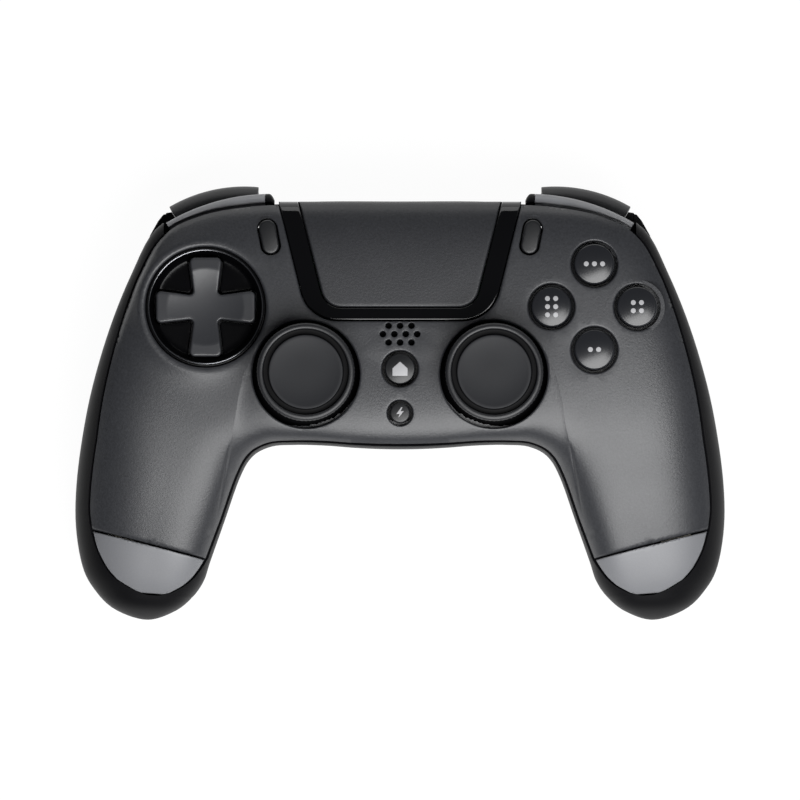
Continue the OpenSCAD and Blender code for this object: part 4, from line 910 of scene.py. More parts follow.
# %% Rims of the front shell
SHELL_RIM, STICK_RIM, OVAL_RIM, BUTTON_RIM = 0.5, 0.5, 0.3, 0.45
HOME_RIM, TURBO_RIM, DISH_RIM, GRILLE_RIM, OVAL_GAP = 0.4, 0.35, 0.8, 0.18, 0.4
SKIRT_X, SKIRT_Y, SKIRT_GAP = (29.5, 58.5), BACK - 12, 0.35


def shell_edge(sheet):
    """Adds the shell's outer rim, which hangs down as a skirt over the bumpers."""
    for k, a in enumerate(RIM_STEPS):
        top, low = shell_ring(SHELL_RIM * (1 - math.cos(a)), SHELL_RIM * (1 - math.sin(a)))
        if k == 0:
            out = np.abs(top[:, 0])
            skirt = (top[:, 1] > SKIRT_Y) & (out > SKIRT_X[0]) & (out < SKIRT_X[1])
            low[skirt] = np.column_stack([top[skirt, :2], np.full(skirt.sum(), BUMPER_TOP + SKIRT_GAP)])
        ids = sheet.add(top[:, :2], top, low)
        if k == 0:
            sheet.loops.append(ids)


def shell_holes(sheet):
    """Adds the rims of all holes in the face."""
    for s in (-1, 1):
        sheet.rim(circle(s * STICK[0], STICK[1], STICK_HOLE, 96), STICK_RIM, 1)
        sheet.rim(oval_loop(s, OVAL_GAP), OVAL_RIM, 1)
    for place in BUTTONS.values():
        sheet.rim(circle(*place, BUTTON_HOLE, 64), BUTTON_RIM, 1)
    sheet.rim(circle(*HOME, HOME_HOLE, 64), HOME_RIM, 1)
    sheet.rim(circle(*TURBO, TURBO_HOLE, 48), TURBO_RIM, 1)
    sheet.rim(circle(-PAD[0], PAD[1], DISH_HOLE, 120), DISH_RIM, 1)
    for row in (-1, 0, 1):
        for i in range(4 - abs(row)):
            x = (i - (3 - abs(row)) / 2) * GRILLE_PITCH
            sheet.rim(circle(x, SPEAKER_Y + row * GRILLE_ROW, GRILLE_R, 24), GRILLE_RIM, 1)


def started_shell():
    sheet = Sheet(shell_height, shell_under)
    shell_edge(sheet)
    shell_holes(sheet)
    print("front shell", len(sheet.loops) - 1, "holes")
    return sheet


front = started_shell()

# %% Face of the front shell
COLLAR_RINGS = (16.1, 16.4, 16.8, 17.3, 17.9, 18.6, 19.4, 20.3, 21.3)
CREASE_LINES = (-2, -1.1, -0.6, -0.3, -0.14, 0, 0.14, 0.3, 0.6, 1.1, 2)
FLANK_Z, CREASE_CLEAR, GRID_ALONG, GRID_ACROSS = 37.0, 2.4, 190, 56


def shell_face(sheet):
    """Fills the face: lines along the crease, rings round the collar and a grid on the rows."""
    line = finer(CREASE, 0.7, False)
    ahead = np.gradient(line, axis=0)
    normal = np.column_stack([ahead[:, 1], -ahead[:, 0]]) / np.linalg.norm(ahead, axis=1)[:, None]
    lines = [line * [s, 1] for s in (-1, 1)]
    beside = [(line + normal * d) * [s, 1] for s in (-1, 1) for d in CREASE_LINES]
    rings = np.vstack([circle(-PAD[0], PAD[1], r, 120) for r in COLLAR_RINGS])
    extra = np.vstack(beside + [rings[face_z(*rings.T) > FLANK_Z]])
    sheet.lift(extra[sheet.free(extra, 0.7)])
    first = CAP_END + 0.12
    t, f = np.meshgrid(np.linspace(first, 2 * MID - first, GRID_ALONG), np.linspace(0, 1, GRID_ACROSS))
    v0, v1 = edge(t, SEAM + 1.0, True), edge(t, SEAM + 1.0, False)
    top, low = (skin(t, v0 + (v1 - v0) * f, d).reshape(-1, 3) for d in (0, WALL))
    near_collar = np.hypot(top[:, 0] + PAD[0], top[:, 1] - PAD[1]) < COLLAR_REACH
    top[:, 2] = np.maximum(top[:, 2], np.where(near_collar, shell_height(top[:, 0], top[:, 1]), 0))
    from_crease = np.min([distance(top[:, :2], l, False) for l in lines], axis=0)
    keep = sheet.free(top[:, :2], 0.75) & (from_crease > CREASE_CLEAR)
    sheet.add(top[keep, :2], top[keep], low[keep])
    for points in sheet.top:
        points[:, 2] -= crease_drop(points[:, 0], points[:, 1])


shell_face(front)
print("front shell", sum(map(len, front.plan)), "points in plan")

# %% Button guides and the finished shell
GUIDE_Z, GUIDE_TOP, OVAL_GUIDE_TOP = 35.0, 38.2, 37.6


def guides():
    """The tubes under the face that the buttons slide in."""
    places = [(place, BUTTON_HOLE) for place in BUTTONS.values()] + [(HOME, HOME_HOLE), (TURBO, TURBO_HOLE)]
    tubes = []
    for place, r in places:
        wall = [(r + 0.02, GUIDE_Z), (r + 1, GUIDE_Z), (r + 1, GUIDE_TOP), (r + 0.02, GUIDE_TOP)]
        tubes.append(spun("guide", wall, place, closed=True, steps=48))
    for s in (-1, 1):
        tube = Sheet(lambda x, y: np.full(len(x), OVAL_GUIDE_TOP), flat_under(GUIDE_Z))
        tube.rim(oval_loop(s, 1.4), 0.05, -1)
        tube.rim(oval_loop(s, 0.42), 0.05, 1)
        tubes.append(tube.build("guide"))
    return tubes


tubes = guides()
face = joined(front.build("front_shell_skin"), *tubes)
dress(face, "shell_graphite", "case", "shell_graphite", "front_shell")

# %% [markdown]
# ## Grip caps
# Each grip ends in a lighter inlay, parted from the face by a dark gap. It is the same
# form cut out between two rows, with its own rounded rim, so the light runs over the gap
# without a step. Cutting it from the front shell would leave a sharp, ragged edge.

# %% Grip caps
CAP_RIM, CAP_DEEP, CAP_SEAM, CAP_ROWS = 0.35, 1.8, 0.35, (1.9, 3.95)


def grip_cap(s):
    seam, (start, end) = CAP_SEAM, CAP_ROWS
    sheet = Sheet(None, None)

    def turned_to(t):
        return t if s < 0 else 2 * MID - t

    for k, a in enumerate(RIM_STEPS):
        d, sink = CAP_RIM * (1 - math.cos(a)), CAP_RIM * (1 - math.sin(a))
        t = np.linspace(start + d / 5, end - d / 8, 60)
        v_in, v_out = edge(t, seam + d, False), edge(t, seam + d, True)
        f = np.linspace(0, 1, END_STEPS)[1:-1]
        rows = np.concatenate([t, np.full(len(f), t[-1]), t[::-1], np.full(len(f), t[0])])
        turns = np.concatenate([v_in, v_in[-1] + (v_out[-1] - v_in[-1]) * f, v_out[::-1],
                                v_out[0] + (v_in[0] - v_out[0]) * f])
        top = skin(turned_to(rows), turns, sink)
        ids = sheet.add(top[:, :2], top, skin(turned_to(rows), turns, CAP_DEEP))
        if k == 0:
            sheet.loops.append(ids)
    t, f = np.meshgrid(np.linspace(start + 0.1, end - 0.06, 40), np.linspace(0.02, 0.98, 44))
    v0, v1 = edge(t, seam, True), edge(t, seam, False)
    top, low = (skin(turned_to(t), v0 + (v1 - v0) * f, d).reshape(-1, 3) for d in (0, CAP_DEEP))
    keep = sheet.free(top[:, :2], 0.45)
    sheet.add(top[keep, :2], top[keep], low[keep])
    name = "left_grip_cap" if s < 0 else "right_grip_cap"
    dress(sheet.build(name + "_skin"), "cap_grey", "case", "cap_grey", name)


for side in (-1, 1):
    grip_cap(side)

# %% [markdown]
# ## Rear shell
# The dark tub under the face. It shows as a border round the grips, and from behind it is
# most of the controller. It is the lower part of the same rows, with a wall, closed over
# at the tips of the grips. Holes for screws, sockets, bumpers and triggers are cut with a
# boolean, which suits plain cuts through a wall.

# %% Places on the shoulders
BUMPER_C, BUMPER_R1, BUMPER_Z, BUMPER_SPAN = (31.5, 0.2), 50.6, 26.0, (89.2, 121.0)
TRIGGER_C, TRIGGER_R, TRIGGER_TOP, TRIGGER_SPAN = (38.3, 16.7), 36.6, 25.0, (84.5, 120.5)
HUB_Y, HUB_Z, BAY_PLAY = 41.0, 22.0, 0.4
SCREWS, SCREW_HOLE = [(53.0, -7.0), (30.0, 31.0)], 2.9
JACK_Z, JACK_R, JACK_SIDES = 23.0, 3.2, 48
SOCKET_X, SOCKET_Z = 4.6, (19.8, 23.4)
CLICK_BACK_W = 48.4
CLICK_V = float(edge(float(MID), 0, True)) + math.radians(0.5)
SILL_Z = float(skin(float(MID), CLICK_V, 3.0)[2]) - 0.3
# Plan of the two steps of the shoulder beside the trigger's outer end
CHEEK = [(54.3, 39.3), (58.2, 39.3), (58.2, 45.6), (57.4, 46.4), (56.6, 44.5), (54.3, 40.5)]
SHELF = [(54.3, 40.4), (57.5, 40.4), (57.5, 46.4), (56.2, 46.6), (54.7, 44.15)]
LUG = np.array([[0, -6], [3, -6], [4.4, -5.6], [2.2, -1.7], [1, -0.2], [0.5, 0], [0, -0.4]])
print("sill of the click pad at", round(SILL_Z, 2))


# %% Tub
TIP_ROWS = [0.02, 0.06, 0.12, 0.2, 0.3, 0.42, 0.56, 0.72, 0.9, 1.1, 1.3, 1.5, 1.65]
# Points in a whole ring and in its lower part, and the row where the hollow begins
RING_POINTS, LOW_POINTS, HOLLOW_ROW = 112, 84, 7


def tub():
    """The tub with its wall: rings of points along the rows, outside and inside."""
    rows = np.array(TIP_ROWS + [CAP_START] + list(np.arange(2.0, MID - 0.05, 0.2)))
    rows = np.concatenate([rows, [MID], 2 * MID - rows[::-1]])
    low, every, n = LOW_POINTS, RING_POINTS, len(rows)
    opened, hollow = len(TIP_ROWS), HOLLOW_ROW
    points = []
    for depth in (0, WALL):
        for t in rows:
            e = max(half(t), CAP_START)
            k = 2 * MID - e if t > MID else e
            a, b = float(edge(k, 0, False)), float(edge(k, 0, True))
            v = np.concatenate([np.linspace(a, b + 2 * math.pi, low, endpoint=False),
                                np.linspace(b, a, every - low, endpoint=False)])
            ring = skin(np.full(every, t), v, depth)
            ring[:, 2] = np.maximum(ring[:, 2], 0.8 * depth)
            points.append(ring)
    points.append(skin(np.array([0.0, 2 * MID]), np.zeros(2)))
    points.append(np.array([points[n + i].mean(0) for i in (hollow, n - 1 - hollow)]))
    faces = []

    def spot(layer, i, j):
        return (layer * n + i) * every + j % every

    for i in range(n - 1):
        whole = not opened <= i < n - 1 - opened
        for j in range(every if whole else low):
            faces.append((spot(0, i, j), spot(0, i + 1, j), spot(0, i + 1, j + 1), spot(0, i, j + 1)))
            if hollow <= i < n - 1 - hollow:
                faces.append((spot(1, i, j), spot(1, i, j + 1), spot(1, i + 1, j + 1), spot(1, i + 1, j)))
        if not whole:
            for j in (0, low):
                faces.append((spot(0, i, j), spot(0, i + 1, j), spot(1, i + 1, j), spot(1, i, j)))
    tip = 2 * n * every
    for j in range(every):
        if j >= low:
            for i in (opened, n - 1 - opened):
                faces.append((spot(0, i, j), spot(0, i, j + 1), spot(1, i, j + 1), spot(1, i, j)))
        for end, (layer, i) in enumerate(((0, 0), (0, n - 1), (1, hollow), (1, n - 1 - hollow))):
            faces.append((spot(layer, i, j), spot(layer, i, j + 1), tip + end))
    inside_box = np.clip(np.vstack(points), *(np.array(cad_box) / mm))
    return close_up(raw_piece("rear_shell_skin", inside_box, [], faces), 35)


shell = tub()
print("tub", len(shell.data.polygons), "faces before its cuts")


# %% Cuts in the tub
TRIGGER_END = math.radians(TRIGGER_SPAN[1] - 90)
BAY_END = TRIGGER_C[0] + TRIGGER_R * math.sin(TRIGGER_END) + BAY_PLAY


def shoulders():
    """The steps of the shoulder that close the bay beside a trigger's outer end."""
    lugs = []
    y = TRIGGER_C[1] + (TRIGGER_R - 2.4) * math.cos(TRIGGER_END)
    for s in (-1, 1):
        lug = LUG + [BAY_END, y]
        lug = prism("lug", lug if s > 0 else (lug * [-1, 1])[::-1], TRIGGER_TOP - 12, TRIGGER_TOP)
        apply(lug, "BEVEL", width=0.35 * mm, segments=3)
        lugs.append(lug)
        for block, z in ((CHEEK, HUB_Z - 4), (SHELF, TRIGGER_TOP - 1.8)):
            block = np.array(block) * [s, 1]
            lugs.append(prism("block", block if s > 0 else block[::-1], z, TRIGGER_TOP - 0.1))
    return lugs


def on_both_sides(x0, x1, *rest):
    return [box("cutter", *sorted((s * x0, s * x1)), *rest) for s in (-1, 1)]


def bays():
    """Cutters for the bumpers and triggers."""
    bumper_x = BUMPER_C[0] + BUMPER_R1 * math.sin(math.radians(BUMPER_SPAN[1] - 90)) + BAY_PLAY
    x0 = TRIGGER_C[0] - TRIGGER_R * math.cos(math.radians(TRIGGER_SPAN[0])) - BAY_PLAY
    y1, step_x, step_z = BACK + 9, TRIGGER_C[0] + 7, HUB_Z - 5
    cutters = on_both_sides(BUMPER_C[0] - 2, bumper_x, HUB_Y - 4.5, y1, BUMPER_Z - 1, 41)
    cutters += on_both_sides(x0, BAY_END, HUB_Y - 1.5, y1, step_z, BUMPER_Z)
    cutters += on_both_sides(x0, step_x, HUB_Y + 2.5, y1, -1, step_z + 0.02)
    return cutters + on_both_sides(step_x - 0.02, BAY_END, HUB_Y - 1.5, y1, -1, step_z + 0.02)


def openings():
    """Cutters for the screws, the two sockets and the click pad's sill."""
    bore = [(0, -1), (SCREW_HOLE, -1), (SCREW_HOLE, 9), (0, 9)]
    cutters = [spun("cutter", bore, (s * x, y), steps=32) for s in (-1, 1) for x, y in SCREWS]
    n, ring = JACK_SIDES, circle(0, JACK_Z, JACK_R, JACK_SIDES)
    mouth = np.column_stack([ring[:, 0], np.full(n, FRONT - 2), ring[:, 1]])
    sides = [(k, (k + 1) % n, (k + 1) % n + n, k + n) for k in range(n)]
    ends = [range(n), range(n, 2 * n)]
    cutters.append(close_up(raw_piece("cutter", np.vstack([mouth, mouth + [0, 20, 0]]), [], sides + ends)))
    cutters.append(box("cutter", -SOCKET_X, SOCKET_X, BACK - 8, BACK + 5, *SOCKET_Z))
    sill = CLICK_BACK_W / 2 + FRAME_SIDE + 0.4
    return cutters + [box("cutter", -sill, sill, BACK - 6, BACK + 1, SILL_Z, 41)]


lugs = shoulders()
cut_from(shell, bays() + openings())
cut_from(shell, lugs, "UNION")
close_up(shell, 35)
dress(shell, "shell_black", "case", "shell_black", "rear_shell")

# %% [markdown]
# ## Click pad and its frame
# The click pad is a sheet of the face's own profile that runs over the back edge, and the
# polished frame goes round it on three sides. Both take their height from the middle cut
# of the case, so they meet the face flush. Cutting both from the front shell would be
# quicker, but then the pad's rim would be sharp. Rounded, it catches a thin line of light
# against the black frame.

# %% Profile over the back edge
PAD_DEEP, FRAME_DEEP, PAD_GAP, EDGE_STEP = 1.8, 3.0, 0.3, 0.8
PROFILE_V = np.linspace(CLICK_V, math.pi - 0.5, 400)
PROFILE = skin(np.full(400, float(MID)), PROFILE_V)
CLICK_BACK = float(PROFILE[0, 1])


def profile_z(x, y):
    return np.interp(y, PROFILE[::-1, 1], PROFILE[::-1, 2])


def profile_under(depth):
    def under(x, y):
        v = np.interp(y, PROFILE[::-1, 1], PROFILE_V[::-1])
        return np.column_stack([x, skin(np.full(len(v), float(MID)), v, depth)[:, 1:]])
    return under


def strip_points(loop, step):
    """Points across a loop on lines that lie closer together where the profile falls off."""
    run = np.concatenate([[0], np.cumsum(np.linalg.norm(np.diff(PROFILE, axis=0), axis=1))])
    ys = np.interp(np.arange(0, 60, 0.7), run, PROFILE[:, 1])
    xs = np.arange(loop[:, 0].min(), loop[:, 0].max() + step, step)
    x, y = np.meshgrid(xs, ys[ys > loop[:, 1].min()])
    return np.column_stack([x.ravel(), y.ravel()])


print("click pad ends at", round(CLICK_BACK, 2))


# %% Click pad and frame
def click_pad():
    sheet = Sheet(profile_z, profile_under(PAD_DEEP))
    loop = click_path(0, 0, CLICK_BACK)
    loop = np.vstack([loop, finer([loop[-1], loop[0]], EDGE_STEP, False)[1:-1]])
    loop = sheet.rim(loop, 0.5, -1)
    points = strip_points(loop, 0.9)
    sheet.lift(points[sheet.free(points, 0.7)])
    parts = [sheet.build("touchpad_skin")]
    for s in (-1, 1):
        parts.append(box("lug", *sorted((s * 20.6, s * 23)), 43.4, 45.4, 33, 36.2))
        parts.append(box("rib", *sorted((s * 12, s * 14)), CLICK_Y + 4, BACK - 9, 36.2, 38.4))
    dress(joined(*parts), "pad_grey", "touchpad", "pad_grey", "touchpad")


def click_frame():
    sheet = Sheet(profile_z, profile_under(FRAME_DEEP))
    outer = click_path(FRAME_SIDE, FRAME_FRONT, CLICK_BACK)
    inner = click_path(PAD_GAP, PAD_GAP, CLICK_BACK)
    right, left = (finer(ends, EDGE_STEP, False)[1:-1]
                   for ends in ([outer[-1], inner[-1]], [inner[0], outer[0]]))
    loop = np.vstack([outer, right, inner[::-1], left])
    loop = sheet.rim(loop, 0.35, -1)
    points = strip_points(loop, 0.7)
    sheet.lift(points[sheet.free(points, 0.55)])
    dress(sheet.build("touchpad_frame_skin"), "gloss_black", "case", "gloss_black", "touchpad_frame")


click_pad()
click_frame()

# %% [markdown]
# ## Cross pad and dish
# The cross is one moulding with flared arms and a shallow dip for the thumb. It stands in
# a dark dish with a raised lip. A thin ring of bright steel on the lip stands in for the
# highlight along its edge. Two crossed boxes would give the plan but not the dip, so both
# are sheets again: one with a cross for its outline, and one with a cross-shaped hole.

# %% Cross
CROSS_TOP, CROSS_FOOT, DIP_R, DIP = 39.9, 34.1, 9.4, 1.1
CROSS_TIP, CROSS_HALF, CROSS_ROOT = 12.1, 4.0, 2.85
FOOT = [(2.6, 33), (12.0, 33), (12.1, 33.1), (12.1, CROSS_FOOT), (12.0, 34.2), (2.6, 34.2)]
CROSS_PLACE = (-PAD[0], PAD[1])
DIP_BALL = (DIP_R ** 2 + DIP ** 2) / 2 / DIP


def cross_loop(grow, tip_round, root_round):
    tip, a, b = CROSS_TIP + grow, CROSS_HALF + grow, CROSS_ROOT + grow
    corners, radii = [], []
    for k in range(4):
        c, s = round(math.cos(k * math.pi / 2)), round(math.sin(k * math.pi / 2))
        for (x, y), r in (((tip, -a), tip_round), ((tip, a), tip_round), ((b, b), root_round)):
            corners.append((x * c - y * s, x * s + y * c))
            radii.append(r)
    return finer(rounded(corners, radii), 0.6) + CROSS_PLACE


def from_cross(x, y):
    return np.hypot(x - CROSS_PLACE[0], y - CROSS_PLACE[1])


def cross_height(x, y):
    r = from_cross(x, y)
    dip = CROSS_TOP - DIP + DIP_BALL - np.sqrt(np.maximum(DIP_BALL ** 2 - r ** 2, 0))
    return np.minimum(CROSS_TOP, np.where(r < DIP_R, dip, CROSS_TOP))


def cross_pad():
    sheet = Sheet(cross_height, flat_under(CROSS_FOOT))
    loop = sheet.rim(cross_loop(0, 1.2, 1.0), 0.45, -1)
    ring = np.vstack([circle(*CROSS_PLACE, r, 90) for r in (DIP_R - 0.4, DIP_R, DIP_R + 0.4)])
    points = lattice(loop, 0.6)
    points = np.vstack([ring, points[np.abs(from_cross(*points.T) - DIP_R) > 0.6]])
    sheet.lift(points[sheet.free(points, 0.55)])
    foot = spun("foot", FOOT, CROSS_PLACE, closed=True)
    dress(joined(sheet.build("dpad_cross"), foot), "cross_grey", "dpad", "cross_grey", "dpad")


cross_pad()

# %% Dish
DISH_FLOOR, DISH_FLAT, DISH_FOOT, DISH_R = 37.4, 11.8, 36.2, 14.65
DISH_PROFILE = [(0, DISH_FLOOR), (11.9, DISH_FLOOR), (12.3, DISH_FLOOR + 0.15), (13.3, 38.9),
                (13.7, 39.45), (13.95, 39.65), (14.3, 39.7), (15, 39.7)]
DISH_RINGS = (12.1, 12.3, 12.8, 13.3, 13.5, 13.7, 13.85, 14.0, 14.2)
LIP_HIGHLIGHT_RING = [(13.75, 39.55), (13.82, 39.75), (13.95, 39.82), (14.08, 39.75), (14.15, 39.55)]


def dish_height(x, y):
    return np.interp(from_cross(x, y), *zip(*DISH_PROFILE))


def dish():
    sheet = Sheet(dish_height, flat_under(DISH_FOOT))
    sheet.rim(circle(*CROSS_PLACE, DISH_R, 120), 0.25, -1)
    sheet.rim(cross_loop(0.5, 1.5, 0.8), 0.3, 1)
    rings = np.vstack([circle(*CROSS_PLACE, r, 120) for r in DISH_RINGS])
    points = lattice(circle(*CROSS_PLACE, DISH_FLAT), 0.7)
    points = np.vstack([rings, points[from_cross(*points.T) < DISH_FLAT]])
    sheet.lift(points[sheet.free(points, 0.38)])
    dress(sheet.build("dpad_dish_skin"), "dish_black", "case", "gloss_black", "dpad_dish")
    # The thin steel ring stands in for the highlight along the lip's edge.
    ring = spun("dish_ring", LIP_HIGHLIGHT_RING, CROSS_PLACE, steps=128, closed=True)
    dress(ring, "dish_ring", "case", "steel")


dish()

# %% [markdown]
# ## Round buttons
# Action buttons, the home button and the small one under it are turned: a crowned top, a
# rounded edge, a straight side and a flange that keeps them in. Their marks could be a
# pattern in the material, but a plain mesh file would lose it, so they are thin inlays
# that follow the crown. The action buttons carry plain pips, one count for each.

# %% Button section and inlays
FLANGE_TOP, FLANGE_FOOT = 34.4, 33.2


def button_profile(r, top, crown, corner, flange_r):
    """Half section of a button, from the middle of its crown to the middle of its foot."""
    drop = crown - math.sqrt(crown ** 2 - (r - corner) ** 2)
    out = [(q, top - crown + math.sqrt(crown ** 2 - q ** 2)) for q in np.linspace(0, r - corner, 12)]
    out += [(r - corner + corner * math.sin(a), top - drop - corner + corner * math.cos(a))
            for a in np.radians([18, 36, 54, 72, 90])]
    return out + [(r, FLANGE_TOP + 0.1), (r, FLANGE_TOP), (flange_r - 0.1, FLANGE_TOP),
                  (flange_r, FLANGE_TOP - 0.1), (flange_r, FLANGE_FOOT + 0.1), (flange_r - 0.1, FLANGE_FOOT),
                  (0, FLANGE_FOOT)]


def inlay(name, loops, height):
    """Thin marks that stand a hair over a crown."""
    def over(x, y):
        return height(x, y) + 0.05

    def under(x, y):
        return np.column_stack([x, y, height(x, y) - 0.2])

    marks = []
    for loop in loops:
        sheet = Sheet(over, under)
        loop = sheet.rim(np.asarray(loop), 0.05, -1)
        points = lattice(loop, 0.3)
        sheet.lift(points[sheet.free(points, 0.15)])
        marks.append(sheet.build(name))
    return joined(*marks)


def crown_over(place, top, crown):
    return lambda x, y: top - crown + np.sqrt(crown ** 2 - (x - place[0]) ** 2 - (y - place[1]) ** 2)


print("section of a button", len(button_profile(4, 40, 14, 0.4, 5)), "points")

# %% Action buttons
ACTION_R, ACTION_TOP, ACTION_CROWN, PIP_R, PIP_GAP = 4.95, 40.4, 18.0, 0.62, 2.0
ACTION_CORNER, ACTION_FLANGE = 0.6, 6.65
PIPS = {"top": [(-1, 0), (0, 0), (1, 0)], "right": [(-0.5, -0.5), (0.5, -0.5), (-0.5, 0.5), (0.5, 0.5)],
        "bottom": [(-0.5, 0), (0.5, 0)], "left": [(x, y) for x in (-0.5, 0.5) for y in (-1, 0, 1)]}
for key, place in BUTTONS.items():
    body = "button_" + key
    profile = button_profile(ACTION_R, ACTION_TOP, ACTION_CROWN, ACTION_CORNER, ACTION_FLANGE)
    dress(spun(body + "_cap", profile, place, steps=72), "button_black", body, "button_black", body)
    pips = [circle(place[0] + x * PIP_GAP, place[1] + y * PIP_GAP, PIP_R, 24) for x, y in PIPS[key]]
    pips = inlay(body + "_pips", pips, crown_over(place, ACTION_TOP, ACTION_CROWN))
    dress(pips, "mark_white", body, "moulded_pale")

# %% Home button and the small button
KEY_TOP, KEY_CROWN, KEY_CORNER, KEY_FLANGE = 40.3, 14.0, 0.4, 1.2
HOUSE = [(-1.85, -1.75), (1.85, -1.75), (1.85, 0.1), (0, 1.75), (-1.85, 0.1)]
BOLT = [(0.3, 1.35), (-0.95, -0.35), (-0.1, -0.28), (-0.5, -1.4), (0.95, 0.45), (0.1, 0.36), (0.65, 1.35)]
KEYS = {"home_button": (HOME, 3.7, HOUSE, 0.12), "turbo_button": (TURBO, 2.45, BOLT, 0.06)}
for body, (place, r, mark, corner) in KEYS.items():
    profile = button_profile(r, KEY_TOP, KEY_CROWN, KEY_CORNER, r + KEY_FLANGE)
    dress(spun(body + "_cap", profile, place, steps=64), "key_dark", body, "key_dark", body)
    loop = finer(rounded(mark, corner, 4), 0.3) + np.array(place)
    mark = inlay(body + "_mark", [loop], crown_over(place, KEY_TOP, KEY_CROWN))
    dress(mark, "mark_white", body, "moulded_pale")

# %% [markdown]
# ## Oval buttons
# Two small keys beside the click pad, crowned along their length. They aren't round, so
# they can't be spun. A sheet on an oval loop has the same rounded rim as the rest.

# %% Oval buttons
OVAL_PROUD, OVAL_CROWN, OVAL_ALONG = 0.5, 0.035, 0.35


def oval_button(s, body):
    top = float(face_z(*OVAL)) + OVAL_PROUD
    place = np.array([s * OVAL[0], OVAL[1]])

    def height(x, y):
        return top - OVAL_CROWN * ((x - place[0]) ** 2 + OVAL_ALONG * (y - place[1]) ** 2)

    sheet = Sheet(height, flat_under(FLANGE_FOOT))
    loop = sheet.rim(oval_loop(s, 0), 0.45, -1)
    points = lattice(loop, 0.45)
    sheet.lift(points[sheet.free(points, 0.5)])
    dress(sheet.build(body + "_cap"), "key_dark", body, "key_dark", body)


oval_button(-1, "share_button")
oval_button(1, "options_button")

# %% [markdown]
# ## Thumb sticks
# One turned moulding: a dome that fills the hole, all but a thin crescent when the stick
# is fully tilted, a neck, and a cap with a raised ring, a groove and a dished middle for
# the thumb. Three spun pieces would look the same at rest, but one section leaves no
# seams when the stick tilts. The ring's side has fine ribs, which are pressed into the
# finished mesh. The groove, the neck and the dome are painted near black, for the shade
# in the groove and in the gap round the cap.

# %% Section of a stick
PIVOT_Z, DOME_R, DOME_WALL, CAP_TOP, DISC_R = 29.0, 14.0, 1.2, 50.5, 8.8
DISC_DEEP, DISC_RISE = 1.15, 0.72
GROOVE = [(8.95, 50.03), (9.05, 49.95), (9.15, 49.7), (9.25, 49.55), (9.4, 49.5), (10.2, 49.5),
          (10.35, 49.55), (10.45, 49.7)]
RAISED_RING = [(10.5, 50.2), (10.56, 50.36), (10.7, 50.45), (11.0, 50.5), (11.35, 50.47), (11.7, 50.3),
               (11.92, 50.0), (12.0, 49.6), (12.0, 48.9), (11.9, 48.5), (11.6, 48.2), (11.2, 48.0)]
NECK = [(6.0, 47.6), (4.9, 47.3), (4.4, 46.8), (4.2, 46.2), (4.2, 43.0), (4.35, 42.5)]


def dome(r, start, end):
    """An arc about the stick's pivot, between two angles from upright."""
    return [(r * math.sin(a), PIVOT_Z + r * math.cos(a)) for a in np.radians(np.linspace(start, end, 26))]


def stick_profile():
    floor = CAP_TOP - DISC_DEEP
    disc = [(q, floor + DISC_RISE * (q / DISC_R) ** 3) for q in np.linspace(0, DISC_R, 16)]
    return disc + GROOVE + RAISED_RING + NECK + dome(DOME_R, 20, 70) + dome(DOME_R - DOME_WALL, 70, 0)


print("section of a stick", len(stick_profile()), "points")

# %% Thumb sticks
RIBS, RIB_DEPTH, RIB_R, RIB_Z = 72, 0.008, 11.95, (48.8, 49.8)
RING_R, RING_Z, SHADED_GROOVE_R, CAP_FOOT = 10.44, 47.9, 9.0, 48


def thumb_stick(s):
    side = "left" if s < 0 else "right"
    place = (s * STICK[0], STICK[1])
    piece = spun(side + "_stick_top", stick_profile(), place, steps=144)
    for v in piece.data.vertices:
        x, y, z = v.co.x / mm - place[0], v.co.y / mm - place[1], v.co.z / mm
        if math.hypot(x, y) > RIB_R and RIB_Z[0] < z < RIB_Z[1]:
            rib = 1 - RIB_DEPTH * (0.5 - 0.5 * math.cos(RIBS * math.atan2(y, x)))
            v.co.x, v.co.y = (place[0] + x * rib) * mm, (place[1] + y * rib) * mm
    dress(piece, "stick_rubber", side + "_stick", "stick_rubber", side + "_stick_cap")
    for look in ("stick_ring", "stick_painted_shade"):
        piece.data.materials.append(LOOKS[look])
    # Painted shade: the groove, the neck and the dome that shows in the gap round the cap get the near-black
    # finish.
    for face in piece.data.polygons:
        x, y, z = (c / mm for c in face.center)
        r = math.hypot(x - place[0], y - place[1])
        if z > RING_Z and r > RING_R:
            face.material_index = 1
        elif z > CAP_FOOT and SHADED_GROOVE_R < r <= RING_R or z < CAP_FOOT:
            face.material_index = 2


for side in (-1, 1):
    thumb_stick(side)

# %% [markdown]
# ## Bumpers
# A bumper follows an arc round the shoulder. A bent block would do from far away, but its
# edge against the shell has a step with an even gap, so a section is spun round the arc's
# centre, and the step is then moved to keep its gap. The satin band ends in a black tip
# towards the middle, which also carries the hub that the bumper turns on. The band's light
# grey is painted sheen: it stands in for the back light's reflection along its top.

# %% Section of a bumper
LIP_R, LIP_GAP, BAND_R = 48.5, 0.4, 46.2


def swing(span, s):
    """A span of the source's angles as angles against the clock, on the given side."""
    return (180 - span[1], 180 - span[0]) if s > 0 else span


def bumper_section():
    """Half section: low under the shell's edge, a step up, and a shoulder that falls to the back."""
    top, r1 = BUMPER_TOP, BUMPER_R1
    step = [(BAND_R, top - 1.3), (LIP_R - 0.05, top - 1.3), (LIP_R, top - 0.3), (LIP_R + 0.1, top - 0.1),
            (LIP_R + 0.3, top)]
    shoulder = [(r1 - 1.2, top - 0.3), (r1 - 0.7, top - 0.75), (r1 - 0.3, top - 1.4), (r1 - 0.08, top - 2.1),
                (r1, top - 3)]
    wall = [(r1, BUMPER_Z), (r1 - 1.8, BUMPER_Z), (r1 - 1.8, top - 3.2), (r1 - 2.4, top - 2.7),
            (BAND_R, top - 2.7)]
    return step + shoulder + wall


